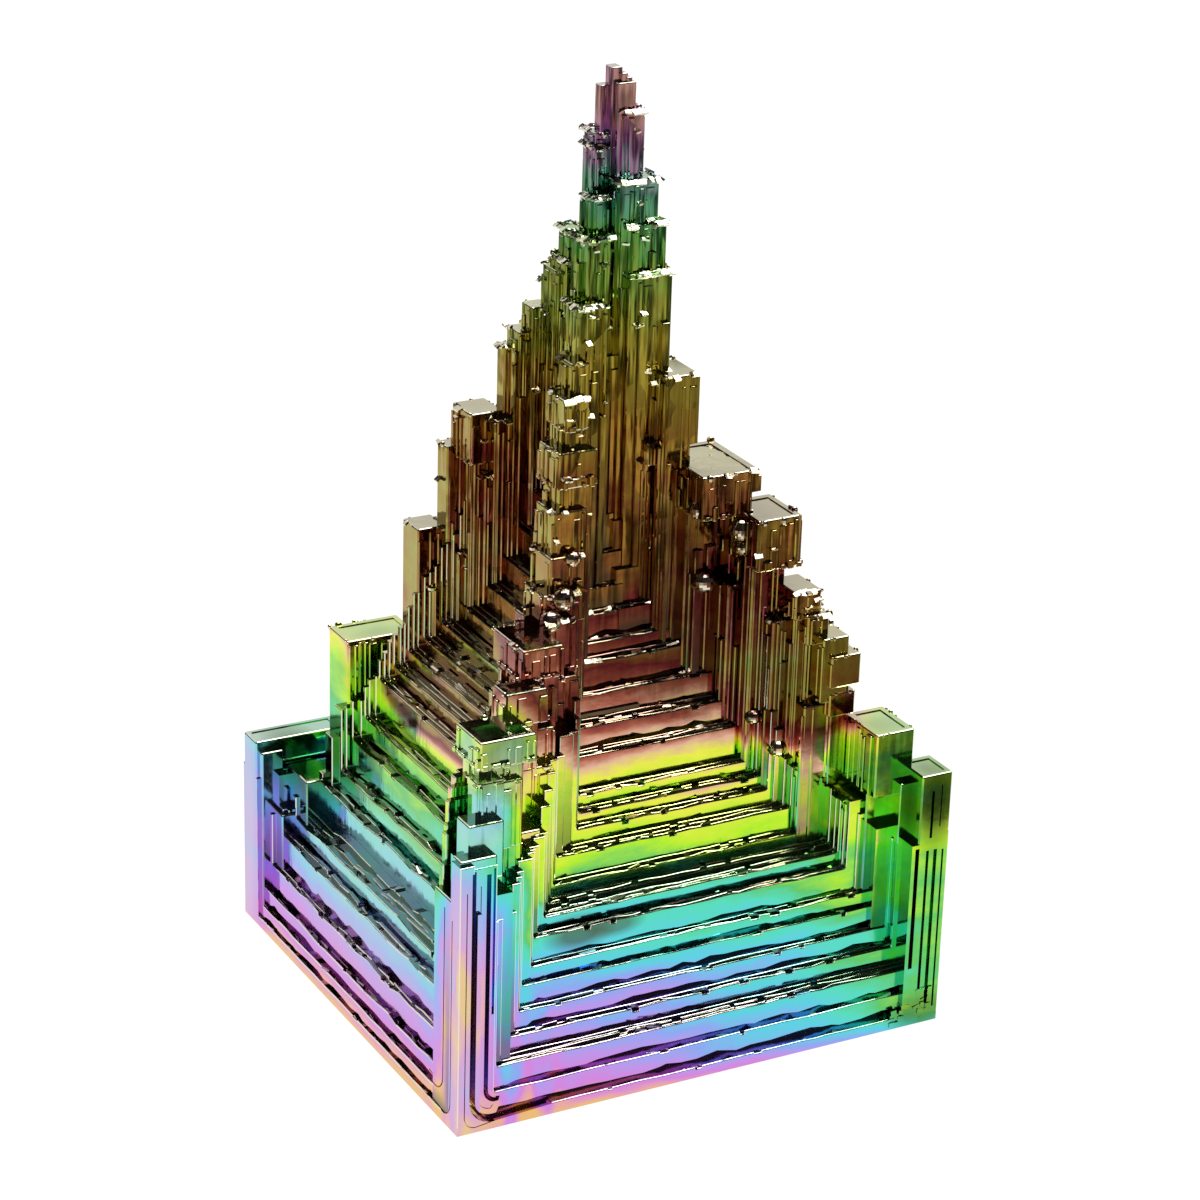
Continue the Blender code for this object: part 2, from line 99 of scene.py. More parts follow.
# A face is a flight of terraces, from the bottom up. Each row is
# (how far the wall stands in from the base's edge, height of the ledge on top of it,
#  ledge's distance from the face's left corner and from its right corner,
#  height of the wall's left strip and of its right strip),
# with left and right as they are seen from outside.
TERRACES = {
    "south": [
        (0.0, 0.9, 1.1, 0.5, 21.0, 15.8),
        (0.3, 2.7, 3.0, 1.4, 20.6, 15.6),
        (0.6, 4.5, 3.3, 2.4, 16.0, 15.4),
        (1.6, 6.0, 4.8, 2.9, 14.6, 15.0),
        (2.2, 7.5, 5.8, 3.5, 17.7, 14.8),
        (2.7, 9.2, 6.3, 3.9, 18.3, 14.6),
        (3.1, 10.3, 7.2, 4.1, 18.9, 14.4),
        (3.6, 12.3, 7.6, 6.5, 19.3, 17.8),
        (4.4, 13.3, 8.8, 6.8, 19.7, 17.6),
        (6.4, 14.5, 10.6, 7.2, 23.5, 18.6),
        (7.0, 16.4, 11.1, 9.5, 24.2, 19.7),
        (8.0, 17.7, 13.2, 10.9, 25.5, 24.0),
        (8.7, 18.6, 13.7, 11.1, 26.1, 29.8),
        (9.5, 19.6, 14.1, 11.3, 27.2, 30.6),
        (10.3, 22.2, 14.4, 12.0, 28.5, 31.1),
        (11.2, 24.0, 14.7, 12.9, 29.5, 31.5),
        (12.2, 26.0, 15.6, 13.4, 30.4, 32.3),
        (13.0, 28.2, 16.0, 15.1, 32.0, 32.8),
        (13.8, 29.3, 16.4, 15.7, 33.6, 36.0),
        (14.5, 31.2, 16.7, 16.0, 35.0, 38.8),
        (15.1, 33.0, 16.9, 16.4, 38.0, 40.6),
        (15.7, 35.3, 17.0, 16.7, 41.0, 43.0),
        (16.2, 37.4, 17.1, 17.0, 43.5, 45.6),
        (16.6, 44.0, 17.2, 17.3, 47.3, 47.9),
        (17.1, 49.0, 17.5, 17.5, 51.0, 51.4),
    ],
    "west": [
        (0.0, 0.8, 1.2, 1.3, 13.0, 17.2),
        (0.2, 1.9, 2.6, 4.0, 13.4, 17.8),
        (0.5, 3.3, 3.0, 4.4, 12.2, 19.5),
        (0.9, 5.4, 3.4, 4.8, 9.7, 21.6),
        (1.4, 8.3, 4.4, 5.4, 10.5, 23.7),
        (2.2, 9.9, 5.0, 6.2, 11.6, 25.1),
        (3.8, 13.1, 6.4, 7.8, 13.9, 24.1),
        (4.5, 14.9, 8.4, 8.4, 19.9, 24.7),
        (5.2, 17.6, 8.9, 9.2, 20.7, 25.3),
        (6.0, 19.4, 9.4, 10.0, 21.9, 26.2),
        (6.9, 22.6, 10.0, 10.7, 24.1, 27.1),
        (7.8, 23.8, 10.6, 11.3, 26.3, 28.5),
        (8.7, 25.1, 11.2, 12.0, 28.6, 29.6),
        (9.7, 26.2, 11.8, 12.7, 31.1, 30.7),
        (10.8, 27.5, 12.4, 13.3, 33.5, 31.9),
        (12.0, 29.1, 13.0, 13.9, 36.1, 33.4),
        (13.1, 31.2, 13.6, 14.5, 39.1, 36.2),
        (14.2, 33.4, 14.1, 15.0, 41.7, 38.7),
        (15.2, 35.8, 14.6, 15.5, 43.8, 41.2),
        (16.1, 38.6, 15.1, 16.0, 46.1, 44.1),
        (16.9, 43.1, 15.6, 16.4, 48.9, 47.1),
        (17.5, 48.1, 16.1, 16.8, 50.6, 50.1),
    ],
    "north": [
        (0.0, 1.2, 2.4, 1.6, 13.8, 12.6),
        (0.3, 2.4, 3.6, 2.8, 14.4, 13.1),
        (0.7, 4.2, 4.0, 3.4, 13.3, 11.7),
        (1.4, 6.6, 4.6, 4.1, 12.4, 10.6),
        (2.3, 8.2, 5.2, 4.9, 14.2, 11.4),
        (3.2, 10.8, 6.0, 5.8, 15.9, 13.0),
        (4.4, 12.6, 7.0, 8.2, 18.1, 16.2),
        (5.6, 15.4, 8.0, 8.8, 20.3, 19.0),
        (6.6, 17.3, 8.9, 9.6, 22.4, 21.2),
        (7.8, 20.0, 9.8, 10.4, 23.9, 23.1),
        (8.8, 21.8, 10.8, 11.3, 26.9, 26.4),
        (10.0, 24.4, 11.7, 12.3, 29.9, 29.2),
        (11.2, 26.7, 12.6, 13.2, 32.2, 31.7),
        (12.3, 29.4, 13.4, 14.0, 34.9, 34.3),
        (13.3, 31.6, 14.3, 14.8, 37.2, 38.3),
        (14.4, 34.7, 15.0, 15.5, 39.7, 42.2),
        (15.4, 38.2, 15.8, 16.2, 42.7, 45.3),
        (16.2, 43.4, 16.4, 16.9, 47.0, 48.4),
        (16.9, 48.5, 17.0, 17.4, 50.3, 51.3),
    ],
    "east": [
        (0.0, 1.1, 2.6, 1.9, 15.0, 12.9),
        (0.3, 2.2, 4.2, 3.2, 15.7, 13.7),
        (0.6, 4.0, 4.8, 3.8, 13.6, 14.1),
        (1.5, 5.8, 5.3, 4.4, 14.3, 13.2),
        (2.1, 8.1, 6.0, 5.0, 16.9, 14.7),
        (3.0, 9.7, 6.6, 5.8, 18.7, 16.3),
        (4.0, 12.2, 7.6, 6.8, 20.1, 18.9),
        (5.4, 14.2, 8.4, 7.7, 22.3, 21.3),
        (6.4, 16.6, 9.4, 8.7, 24.3, 22.9),
        (7.5, 18.3, 10.4, 9.6, 26.1, 24.5),
        (8.6, 21.3, 11.2, 10.6, 28.8, 27.9),
        (9.8, 23.2, 12.0, 11.5, 31.3, 30.2),
        (11.0, 26.1, 12.9, 12.4, 33.1, 32.9),
        (12.4, 28.7, 13.7, 13.2, 36.3, 35.1),
        (13.6, 31.7, 14.4, 14.0, 38.5, 38.1),
        (14.8, 34.5, 15.1, 14.7, 40.9, 41.1),
        (15.9, 38.1, 15.7, 15.5, 43.3, 43.1),
        (16.8, 42.5, 16.2, 16.1, 46.3, 46.7),
        (17.4, 47.1, 16.6, 16.6, 49.1, 49.7),
    ],
}

ROOT = 0.4  # everything grows from inside the base slab, this far above the underside
SLAB_TOP = 0.7
SLAB_EDGE = 0.05  # dulled edge of the base slab
SLOT_EDGE = 0.02  # dulled edge at the bottom of a slot
PIT_EDGE = 0.05  # dulled edge of a sunken top's floor
PIT_CUT = 1.5  # height of what is cut above that floor

# A ridge is a stack of blocks along a diagonal, from its corner post inwards. Each row is
# (start and end along X, start and end along Y, both measured inwards from the corner,
#  height of the underside and of the top). The blocks whose underside is high overhang what is below.
RIDGES = {
    "south_west": (-1, -1, [
        (0.2, 3.0, 0.35, 1.7, ROOT, 21.3),
        (0.1, 1.5, 0.3, 4.3, ROOT, 17.8),
        (1.0, 4.2, 1.9, 5.2, ROOT, 14.0),
        (1.3, 4.0, 1.4, 3.4, 19.0, 23.3),
        (1.9, 5.7, 3.0, 5.6, ROOT, 17.2),
        (2.4, 4.4, 2.3, 4.0, 12.0, 25.9),
        (4.3, 6.1, 2.75, 4.6, 20.4, 25.5),
        (3.2, 6.4, 3.4, 6.3, ROOT, 27.3),
        (2.7, 7.0, 2.6, 6.5, 26.7, 28.8),
        (3.4, 8.6, 4.7, 8.3, ROOT, 20.2),
        (5.2, 10.5, 6.7, 9.6, ROOT, 24.0),
        (6.8, 9.2, 6.8, 8.6, ROOT, 28.2),
        (6.4, 9.6, 6.1, 8.2, 27.7, 30.3),
        (7.1, 11.0, 7.5, 10.9, ROOT, 26.5),
        (9.2, 11.9, 9.0, 12.6, ROOT, 30.2),
        (8.9, 12.1, 8.5, 13.3, 29.8, 32.2),
        (9.5, 14.0, 9.8, 12.9, ROOT, 29.0),
        (10.9, 14.1, 10.6, 13.9, ROOT, 33.1),
        (12.0, 14.9, 11.5, 14.6, ROOT, 34.7),
        (12.9, 15.5, 12.3, 15.2, ROOT, 37.1),
        (13.4, 16.0, 12.8, 15.8, ROOT, 40.3),
        (14.1, 16.5, 13.4, 16.0, ROOT, 42.7),
        (13.8, 16.8, 13.1, 16.3, 41.8, 44.6),
        (14.7, 16.6, 13.9, 16.2, ROOT, 46.9),
        (14.4, 16.4, 13.6, 16.4, 45.9, 48.3),
        (15.5, 16.9, 14.7, 16.6, ROOT, 50.5),
    ]),
    "south_east": (1, -1, [
        (0.0, 2.6, 0.0, 3.2, 14.5, 20.5),
        (0.1, 1.3, 0.2, 4.5, ROOT, 15.3),
        (1.3, 2.6, 1.1, 4.0, ROOT, 14.7),
        (2.6, 5.2, 3.3, 6.4, ROOT, 19.1),
        (2.1, 5.3, 2.2, 6.7, 18.3, 23.4),
        (3.3, 6.6, 3.9, 7.2, ROOT, 17.5),
        (5.4, 7.2, 6.2, 8.3, ROOT, 26.6),
        (5.1, 7.3, 5.8, 8.4, 23.7, 25.6),
        (4.9, 7.4, 5.6, 8.6, 26.1, 28.6),
        (5.8, 8.0, 5.9, 9.0, 24.9, 30.0),
        (6.2, 9.2, 6.8, 9.4, ROOT, 19.5),
        (6.6, 9.1, 6.3, 9.9, ROOT, 24.7),
        (7.3, 8.7, 7.2, 9.8, ROOT, 30.1),
        (7.0, 8.8, 6.9, 10.0, 29.2, 31.6),
        (7.8, 9.5, 7.7, 10.5, ROOT, 32.2),
        (7.5, 9.7, 7.3, 10.7, 31.2, 33.4),
        (8.5, 10.9, 8.3, 11.4, ROOT, 31.0),
        (9.5, 12.1, 9.5, 13.0, ROOT, 36.3),
        (8.8, 12.4, 8.4, 13.1, 35.0, 39.0),
        (10.7, 13.2, 11.0, 14.4, ROOT, 33.2),
        (13.1, 15.8, 12.9, 16.2, ROOT, 40.4),
        (11.2, 15.9, 10.6, 17.4, 38.7, 42.1),
        (14.6, 17.3, 13.9, 17.6, ROOT, 48.8),
        (15.9, 18.3, 15.0, 17.8, ROOT, 42.3),
        (15.6, 18.3, 14.6, 17.8, 41.9, 43.7),
    ]),
    "north_west": (-1, 1, [
        (0.0, 7.4, 0.2, 2.5, 0.5, 15.6),
        (0.2, 2.0, 0.3, 3.2, ROOT, 14.9),
        (1.1, 5.0, 1.6, 4.9, ROOT, 10.2),
        (2.4, 8.4, 2.9, 6.6, ROOT, 13.5),
        (5.1, 10.7, 4.8, 8.2, ROOT, 25.3),
        (6.1, 9.8, 5.9, 9.3, ROOT, 19.7),
        (7.6, 11.4, 7.0, 10.2, ROOT, 22.7),
        (9.3, 11.6, 8.8, 11.4, ROOT, 34.8),
        (10.2, 13.2, 9.4, 12.2, ROOT, 30.4),
        (11.2, 13.6, 10.6, 12.3, ROOT, 41.3),
        (11.6, 14.7, 11.0, 13.4, ROOT, 33.3),
        (12.4, 14.4, 11.8, 14.3, ROOT, 42.3),
        (12.0, 14.6, 11.4, 14.5, 40.4, 44.4),
        (13.0, 16.0, 12.4, 14.9, ROOT, 39.6),
        (13.6, 16.4, 12.9, 15.6, ROOT, 44.0),
        (14.4, 15.4, 13.7, 14.9, ROOT, 49.4),
        (14.9, 16.6, 14.2, 16.2, ROOT, 50.8),
        (15.7, 17.2, 14.9, 16.7, ROOT, 52.7),
    ]),
    "north_east": (1, 1, [
        (0.1, 3.6, 0.2, 2.9, 12.6, 18.2),
        (0.3, 1.8, 0.3, 4.6, ROOT, 13.0),
        (0.9, 3.3, 0.8, 3.6, ROOT, 12.8),
        (2.3, 5.4, 2.8, 6.0, ROOT, 20.4),
        (1.9, 5.6, 2.4, 6.2, 19.5, 22.4),
        (3.0, 7.4, 3.6, 7.0, ROOT, 16.6),
        (4.2, 8.4, 4.6, 8.2, ROOT, 26.8),
        (5.6, 9.6, 5.7, 9.3, ROOT, 21.5),
        (6.8, 10.6, 6.6, 10.4, ROOT, 31.2),
        (8.0, 11.8, 7.9, 11.5, ROOT, 27.1),
        (9.2, 12.0, 9.0, 11.9, ROOT, 33.8),
        (8.9, 12.2, 8.7, 12.1, 32.8, 35.6),
        (10.0, 13.9, 9.9, 13.5, ROOT, 32.5),
        (10.9, 13.8, 10.5, 13.8, ROOT, 39.4),
        (12.4, 15.6, 11.9, 15.4, ROOT, 43.9),
        (14.2, 16.8, 13.4, 16.4, ROOT, 47.6),
        (15.6, 17.6, 14.8, 17.2, ROOT, 51.5),
    ]),
}

# The spire's columns, and the lone columns on the faces: start and end along X, start and end along Y,
# all from the axis, and height of the top.
SPIRE_COLUMNS = [
    (-3.0, 2.8, -2.3, 2.7, 52.1),
    (0.9, 3.7, -3.5, -0.8, 56.2),
    (0.3, 3.3, -3.1, 0.9, 59.7),
    (-0.2, 2.9, -2.7, 0.5, 62.8),
    (0.6, 2.0, -1.9, 0.7, 67.6),
    (0.1, 1.5, -1.5, 0.4, 69.6),
    (-3.2, -1.7, 0.6, 3.0, 55.7),
    (-2.8, -0.5, 0.2, 2.55, 56.6),
    (-2.4, -1.2, 0.0, 2.2, 58.7),
    (-1.1, 0.4, -0.6, 1.1, 64.9),
    (-3.5, -1.3, -3.3, -0.9, 54.2),
    (-2.6, -0.7, -2.5, -0.3, 58.9),
    (-1.7, 0.2, -1.7, 0.3, 61.6),
    (0.4, 2.5, 0.8, 3.1, 54.8),
    (-0.3, 1.9, 0.3, 2.35, 60.6),
    (-0.9, 1.1, -0.1, 1.6, 65.8),
    (-0.6, 0.2, -0.2, 0.7, 69.2),
    (-0.1, 0.7, -0.9, 0.2, 70.6),
    (0.5, 0.98, -1.2, 0.15, 70.2),
    (0.8, 1.28, -1.3, 0.25, 69.9),
]
LONE_COLUMNS = [
    (-5.5, -4.1, 7.6, 9.2, 33.2),
    (-7.3, -6.2, 6.6, 8.1, 36.6),
    (-6.6, -5.7, 5.2, 6.9, 38.9),
    (5.1, 6.7, 7.3, 9.1, 31.0),
]

# Sunken block tops: start and end along X, start and end along Y, height of the floor.
PITS = [
    (-16.8, -14.9, -15.9, -13.7, 28.1),
    (-14.6, -13.4, -15.9, -14.6, 28.3),
    (-12.9, -11.0, -12.2, -11.2, 30.1),
    (-10.5, -8.5, -9.9, -6.6, 32.1),
    (15.2, 17.4, -16.3, -12.8, 23.32),
    (17.9, 19.6, -18.5, -16.3, 20.42),
    (4.7, 8.2, -8.0, -2.2, 42.03),
    (8.2, 10.7, -10.2, -6.5, 38.92),
    (-19.6, -13.2, 16.9, 18.4, 15.53),
    (-14.4, -9.8, 11.4, 13.7, 25.23),
    (16.9, 19.3, 16.7, 18.2, 18.12),
    (14.9, 17.6, 13.3, 16.1, 22.32),
]

# Lines engraved in the posts beside the front corner: distance from the corner, height of the foot, radius
# of the turn, height of the upper end, distance that the foot reaches, width, and inset of the wall.
ENGRAVED = {
    "south": [
        (1.15, 0.8, 1.7, 20.4, 7.5, 0.45, 0.0),
        (0.55, 0.42, 0.9, 19.0, 3.4, 0.07, 0.0),
        (2.35, 2.1, 0.9, 20.0, 3.3, 0.34, 0.3),
        (1.75, 1.5, 1.0, 19.2, 2.9, 0.06, 0.3),
    ],
    "west": [
        (1.2, 0.8, 1.2, 16.5, 5.0, 0.10, 0.0),
        (2.6, 2.2, 1.2, 16.9, 5.6, 0.12, 0.2),
    ],
}

# Ends of faces whose strips lie close together: face, and 0 for its left or 1 for its right end.
SMOOTH_SIDES = {("south", 0), ("west", 1)}

# Slots cut in the corner posts: start and end along X, start and end along Y, height of the two ends.
SLOTS = [
    (19.46, 19.62, -19.2, -18.5, 1.2, 14.3),
    (18.74, 19.04, -19.2, -18.0, 1.6, 14.4),
    (18.10, 18.34, -19.2, -17.8, 2.9, 14.4),
    (17.16, 17.50, -19.2, -17.4, 4.8, 14.7),
    (16.42, 16.66, -19.2, -16.6, 6.2, 14.6),
    (19.10, 19.20, -19.2, -18.6, 16.2, 19.6),
    (18.30, 18.52, -19.2, -18.5, 15.4, 19.2),
    (-17.30, -17.12, -19.2, -18.2, 9.0, 20.4),
    (-16.62, -16.50, -19.2, -18.0, 5.2, 12.4),
]

# Blocks behind the overhangs of the right ridge, which keep the gaps under them from being open:
# start and end along X, start and end along Y, height of the underside and of the top.
BACKING = [
    (16.6, 18.4, -17.4, -15.2, ROOT, 19.4),
    (10.2, 11.15, -8.4, -6.1, ROOT, 35.4),
    (7.6, 9.0, -6.6, -4.6, ROOT, 39.2),
]

# Beads of metal that froze on the crystal as it was lifted out: centre and radius.
BEADS = [
    (5.0, -2.4, 42.3, 0.75),
    (4.6, -7.2, 39.3, 0.85),
    (7.5, -8.3, 37.6, 0.9),
    (7.6, -8.4, 36.3, 0.7),
    (5.6, -6.5, 33.3, 1.0),
    (9.8, -10.7, 21.0, 0.9),
    (8.5, -9.5, 23.2, 0.7),
    (-6.6, -7.8, 34.4, 0.8),
    (-7.8, -8.1, 33.0, 0.8),
    (-5.4, -6.8, 36.9, 0.6),
    (-7.4, 8.6, 30.9, 0.7),
]


# ---------------------------------------------------------------- settings


def linear(colour):
    """Six sRGB hex digits as linear red, green and blue."""
    channels = (int(colour[i:i + 2], 16) / 255 for i in (0, 2, 4))
    return tuple(c / 12.92 if c <= 0.04045 else ((c + 0.055) / 1.055) ** 2.4 for c in channels)


def length(name, description, default):
    """A length that a user may change, in metres, with its default given in millimetres."""
    return bpy.props.FloatProperty(
        name=name, description=description, default=default * MM, min=0.0, precision=5, unit="LENGTH"
    )


def tint(name, description, colour):
    """A colour that a user may change, with its default given in sRGB hex digits."""
    return bpy.props.FloatVectorProperty(
        name=name, description=description, default=linear(colour), min=0.0, max=1.0, subtype="COLOR"
    )


def power(name, description, default):
    """A lamp's power that a user may change, in watts."""
    return bpy.props.FloatProperty(name=name, description=description, default=default, min=0.0, unit="POWER")


class CrystalSizes(bpy.types.PropertyGroup):
    """Sizes of the small growth steps."""

    chamfer: length("Edge", "Width of the flat that dulls each edge", 0.07)
    fine_step: length("Fine step", "Width of a fine step on a ledge", 0.45)
    waviness: length("Waviness", "How far a ledge's edge wanders up and down", 0.05)
    strip: length("Strip", "Usual width of a thin strip on the side of a block", 0.5)


class FilmColours(bpy.types.PropertyGroup):
    """Colours of the oxide film, from the thinnest to the thickest, and the colours mixed over it, which
    include painted highlights, painted shade and a painted sheen.
    """

    gold: tint("Gold", "Thinnest film", "E6B878")
    rose: tint("Rose", "After gold", "E2A0B0")
    magenta: tint("Magenta", "First order", "D085DA")
    violet: tint("Violet", "First order", "BC93E6")
    blue: tint("Blue", "First order", "8CA6EE")
    cyan: tint("Cyan", "Between the orders", "60CBE2")
    aqua: tint("Aqua", "Between the orders", "58D8BC")
    green: tint("Green", "Second order", "60C468")
    lime: tint("Lime", "Second order", "B2EA30")
    yellow: tint("Yellow", "Second order", "E6E84C")
    peach: tint("Peach", "Second order", "E0B096")
    copper: tint("Copper", "Second order", "AC604C")
    maroon: tint("Maroon", "Second order", "742830")
    bronze: tint("Bronze", "Third order", "A07C3A")
    olive: tint("Olive", "Third order", "A09A40")
    leaf: tint("Leaf green", "Third order", "60A04C")
    teal: tint("Teal", "Third order", "58A090")
    purple: tint("Purple", "Third order", "A070AC")
    salmon: tint("Salmon", "Thickest film", "B48E8E")
    # Ledges is the colour of the fine steps of the ledges: crumbled metal, darkened further as painted shade.
    # It also dulls two patches on the turquoise band.
    crumbs: tint("Ledges", "Crumbled metal on the fine steps of the ledges", "4C4A3C")
    # Worn edges is a painted highlight: a pale colour mixed onto edges, drops and flakes, and faintly onto
    # the brown walls on the left.
    painted_highlight: tint("Worn edges", "Metal of the dulled edges and of the drops", "EAE4D0")
    # Dark film is painted shade: a dark colour mixed into grooves, recesses and under overhangs.
    painted_shade: tint("Dark film", "Dull dark film in sheltered places", "2A3626")
    # Wine is the dark red film, darkened as painted shade deep between the ridges.
    wine_film_and_shade: tint("Wine", "Dark red film deep between the ridges", "4E1A22")
    # Bare metal is pale metal on some blocks and posts, and it is painted on flat tops as a painted sheen.
    pale_metal_and_sheen: tint("Bare metal", "Pale metal on flat tops, where the film stayed thin", "D8DCC0")


FILM_STOPS = [
    ("gold", 0.0), ("rose", 0.05), ("magenta", 0.11), ("violet", 0.18), ("blue", 0.25), ("cyan", 0.32),
    ("aqua", 0.40), ("green", 0.47), ("lime", 0.54), ("yellow", 0.60), ("peach", 0.65), ("copper", 0.70),
    ("maroon", 0.75), ("bronze", 0.80), ("olive", 0.85), ("leaf", 0.90), ("teal", 0.94), ("purple", 0.97),
    ("salmon", 1.0),
]


class StageSettings(bpy.types.PropertyGroup):
    """The floor and the lights."""

    floor: tint("Floor", "Colour of the floor", "FCFCFA")
    sky: tint("Room", "Colour of the unlit room in front and above", "302E2E")
    ground: tint("Ground", "Colour of the unlit room below the horizon", "BCB2A0")
    wall: tint("Wall", "Colour of the lit wall behind, on the right", "F0F0EC")
    overhead: power("Overhead light", "Power of the big lamp above", 11.0)
    rim: power("Rim light", "Power of the faint lamp behind on the left", 0.4)
    front: power("Edge light", "Power of the small lamp in front, above", 1.0)


# ---------------------------------------------------------------- shapes

ROUNDING = ((0.0, 1.0), (0.29, 0.29), (1.0, 0.0))  # a quarter round in two flats: share inwards, share down
SHARPEST = 0.3  # keeps a sharp corner from moving too far when its outline moves inwards
STRAIGHT = 0.8  # cosine of the turn below which a corner of an outline isn't cut off
MOST_CUT = 0.35  # a cut corner takes up no more than this share of either side
OVERHANG = 1.0  # blocks whose underside is above this have dulled edges there too
CUTTER_PROUD = 0.12  # how far a cutter stands out of the wall that it cuts


def face_width(face):
    """Length of a face along its foot."""
    return BASE_X if face in LONG_FACES else BASE_Y


def inset_outline(outline, amount):
    """The outline moved inwards. It runs anticlockwise."""
    moved = []
    for number, point in enumerate(outline):
        before, after = outline[number - 1], outline[(number + 1) % len(outline)]
        normals = []
        for start, end in ((before, point), (point, after)):
            run, rise = end[0] - start[0], end[1] - start[1]
            size = math.hypot(run, rise)
            normals.append((-rise / size, run / size))
        (ax, ay), (bx, by) = normals
        scale = amount / max(1 + ax * bx + ay * by, SHARPEST)
        moved.append((point[0] + (ax + bx) * scale, point[1] + (ay + by) * scale))
    return moved


def soften(outline, amount):
    """The outline with each sharp corner cut off."""
    points = []
    for number, point in enumerate(outline):
        before, after = outline[number - 1], outline[(number + 1) % len(outline)]
        back = (before[0] - point[0], before[1] - point[1])
        on = (after[0] - point[0], after[1] - point[1])
        back_size, on_size = math.hypot(*back), math.hypot(*on)
        straight = -(back[0] * on[0] + back[1] * on[1]) / (back_size * on_size)
        if straight > STRAIGHT:
            points.append(point)
            continue
        for step, size in ((back, back_size), (on, on_size)):
            share = min(amount / size, MOST_CUT)
            points.append((point[0] + step[0] * share, point[1] + step[1] * share))
    return points


def stack(rings):
    """A closed solid from rings of points of equal length, each one anticlockwise as seen from its end."""
    count = len(rings[0])
    points = [point for ring in rings for point in ring]
    faces = [tuple(range(count - 1, -1, -1))]
    for level in range(len(rings) - 1):
        low, high = level * count, (level + 1) * count
        for number in range(count):
            follow = (number + 1) % count
            faces.append((low + number, low + follow, high + follow, high + number))
    last = (len(rings) - 1) * count
    faces.append(tuple(range(last, last + count)))
    return points, faces


def prism(outline, low, high, chamfer, undercut=False):
    """An upright solid on a plan, with its upper edges dulled, and its lower ones too if it overhangs."""
    outline = soften(outline, chamfer)
    insets = [(inset_outline(outline, share * chamfer), drop * chamfer) for share, drop in ROUNDING]
    rings = [[(x, y, low + drop) for x, y in plan] for plan, drop in reversed(insets)]
    rings = rings if undercut else [[(x, y, low) for x, y in outline]]
    rings += [[(x, y, high - drop) for x, y in plan] for plan, drop in insets]
    return stack(rings)


def block(x0, x1, y0, y1, low, high, chamfer, undercut=False):
    """An upright box with dulled edges."""
    return prism([(x0, y0), (x1, y0), (x1, y1), (x0, y1)], low, high, chamfer, undercut)


def on_face(face, along, inset, height):
    """A point from its distance along a face, seen from outside, its inset from the edge and its height."""
    if face == "south":
        return (-HALF_X + along, -HALF_Y + inset, height)
    if face == "west":
        return (-HALF_X + inset, HALF_Y - along, height)
    if face == "north":
        return (HALF_X - along, HALF_Y - inset, height)
    return (HALF_X - inset, -HALF_Y + along, height)


def cutter(face, outline, front, back):
    """A solid to cut from a face: an outline on it, between two insets."""
    rings = [[on_face(face, along, away, height) for along, height in outline] for away in (back, front)]
    return stack(rings)


def sheet(face, outline, front, back, chamfer):
    """A wall: an outline on a face, anticlockwise as seen from outside, given thickness inwards."""
    rings = [[on_face(face, along, back, height) for along, height in outline]]
    for share, drop in ROUNDING:
        plan = inset_outline(outline, share * chamfer)
        rings.append([on_face(face, along, front + drop * chamfer, height) for along, height in plan])
    return stack(rings)


def arc(middle, radius, first, last, steps):
    """Points on an arc, by its first and last angles in degrees."""
    angles = [math.radians(first + (last - first) * step / steps) for step in range(steps + 1)]
    return [(middle[0] + radius * math.cos(a), middle[1] + radius * math.sin(a)) for a in angles]


CHIPPED = 0.16  # share of the stretches of a ledge's edge that are chipped


def ledge_line(start, end, height, waviness, rng):
    """The upper edge of a wall from right to left: nearly level, with a few chips."""
    points = []
    along = start - rng.uniform(0.6, 1.6)
    while along > end + 0.9:
        lift = rng.uniform(-waviness, waviness)
        if rng.random() < CHIPPED:
            depth, width = rng.uniform(0.1, 0.3), rng.uniform(0.25, 0.8)
            points += [
                (along, height + lift),
                (along - 0.06, height + lift - depth),
                (along - 0.06 - width, height + lift - depth * 0.9),
                (along - 0.12 - width, height + lift),
            ]
            along -= width
        else:
            points.append((along, height + lift))
        along -= rng.uniform(0.9, 2.4)
    return [point for point in points if point[0] > end + 0.3]


UNDER = 0.25  # how far a wall reaches under the strips of the wall in front
ROUGH_LEDGES = (3.0, 18.0)  # heights between which the short faces' ledges are rough
ROUGHER = 3.5  # and how many times rougher than the others


def wall(face, row, reach, back, radius, sizes, rng):
    """One wall of a face: two side strips with the ledge hanging between them."""
    width = face_width(face)
    inset, top, left, right, left_top, right_top = row
    first, last = max(reach[0] - UNDER, 0.0), width - max(reach[1] - UNDER, 0.0)
    has_left, has_right = left > reach[0] + 0.05, right > reach[1] + 0.05
    radius = min(radius, 0.4 * (left_top - top) if has_left else radius)
    outline = [(first, ROOT), (last, ROOT)]
    if has_right:
        outline += [(last, right_top), (width - right, right_top)]
        outline += arc((width - right - radius, top + radius), radius, 0, -90, 4)
        start = width - right - radius
    else:
        outline.append((last, top))
        start = last
    end = left + radius if has_left else first
    rough = ROUGHER if face not in LONG_FACES and ROUGH_LEDGES[0] < top < ROUGH_LEDGES[1] else 1.0
    outline += ledge_line(start, end, top, rough * sizes.waviness / MM, rng)
    if has_left:
        outline += arc((left + radius, top + radius), radius, -90, -180, 4)
        outline += [(left, left_top), (first, left_top)]
    else:
        outline.append((first, top))
    return sheet(face, outline, inset, back, sizes.chamfer / MM)


MOST_FINE_STEPS = 3  # on one ledge


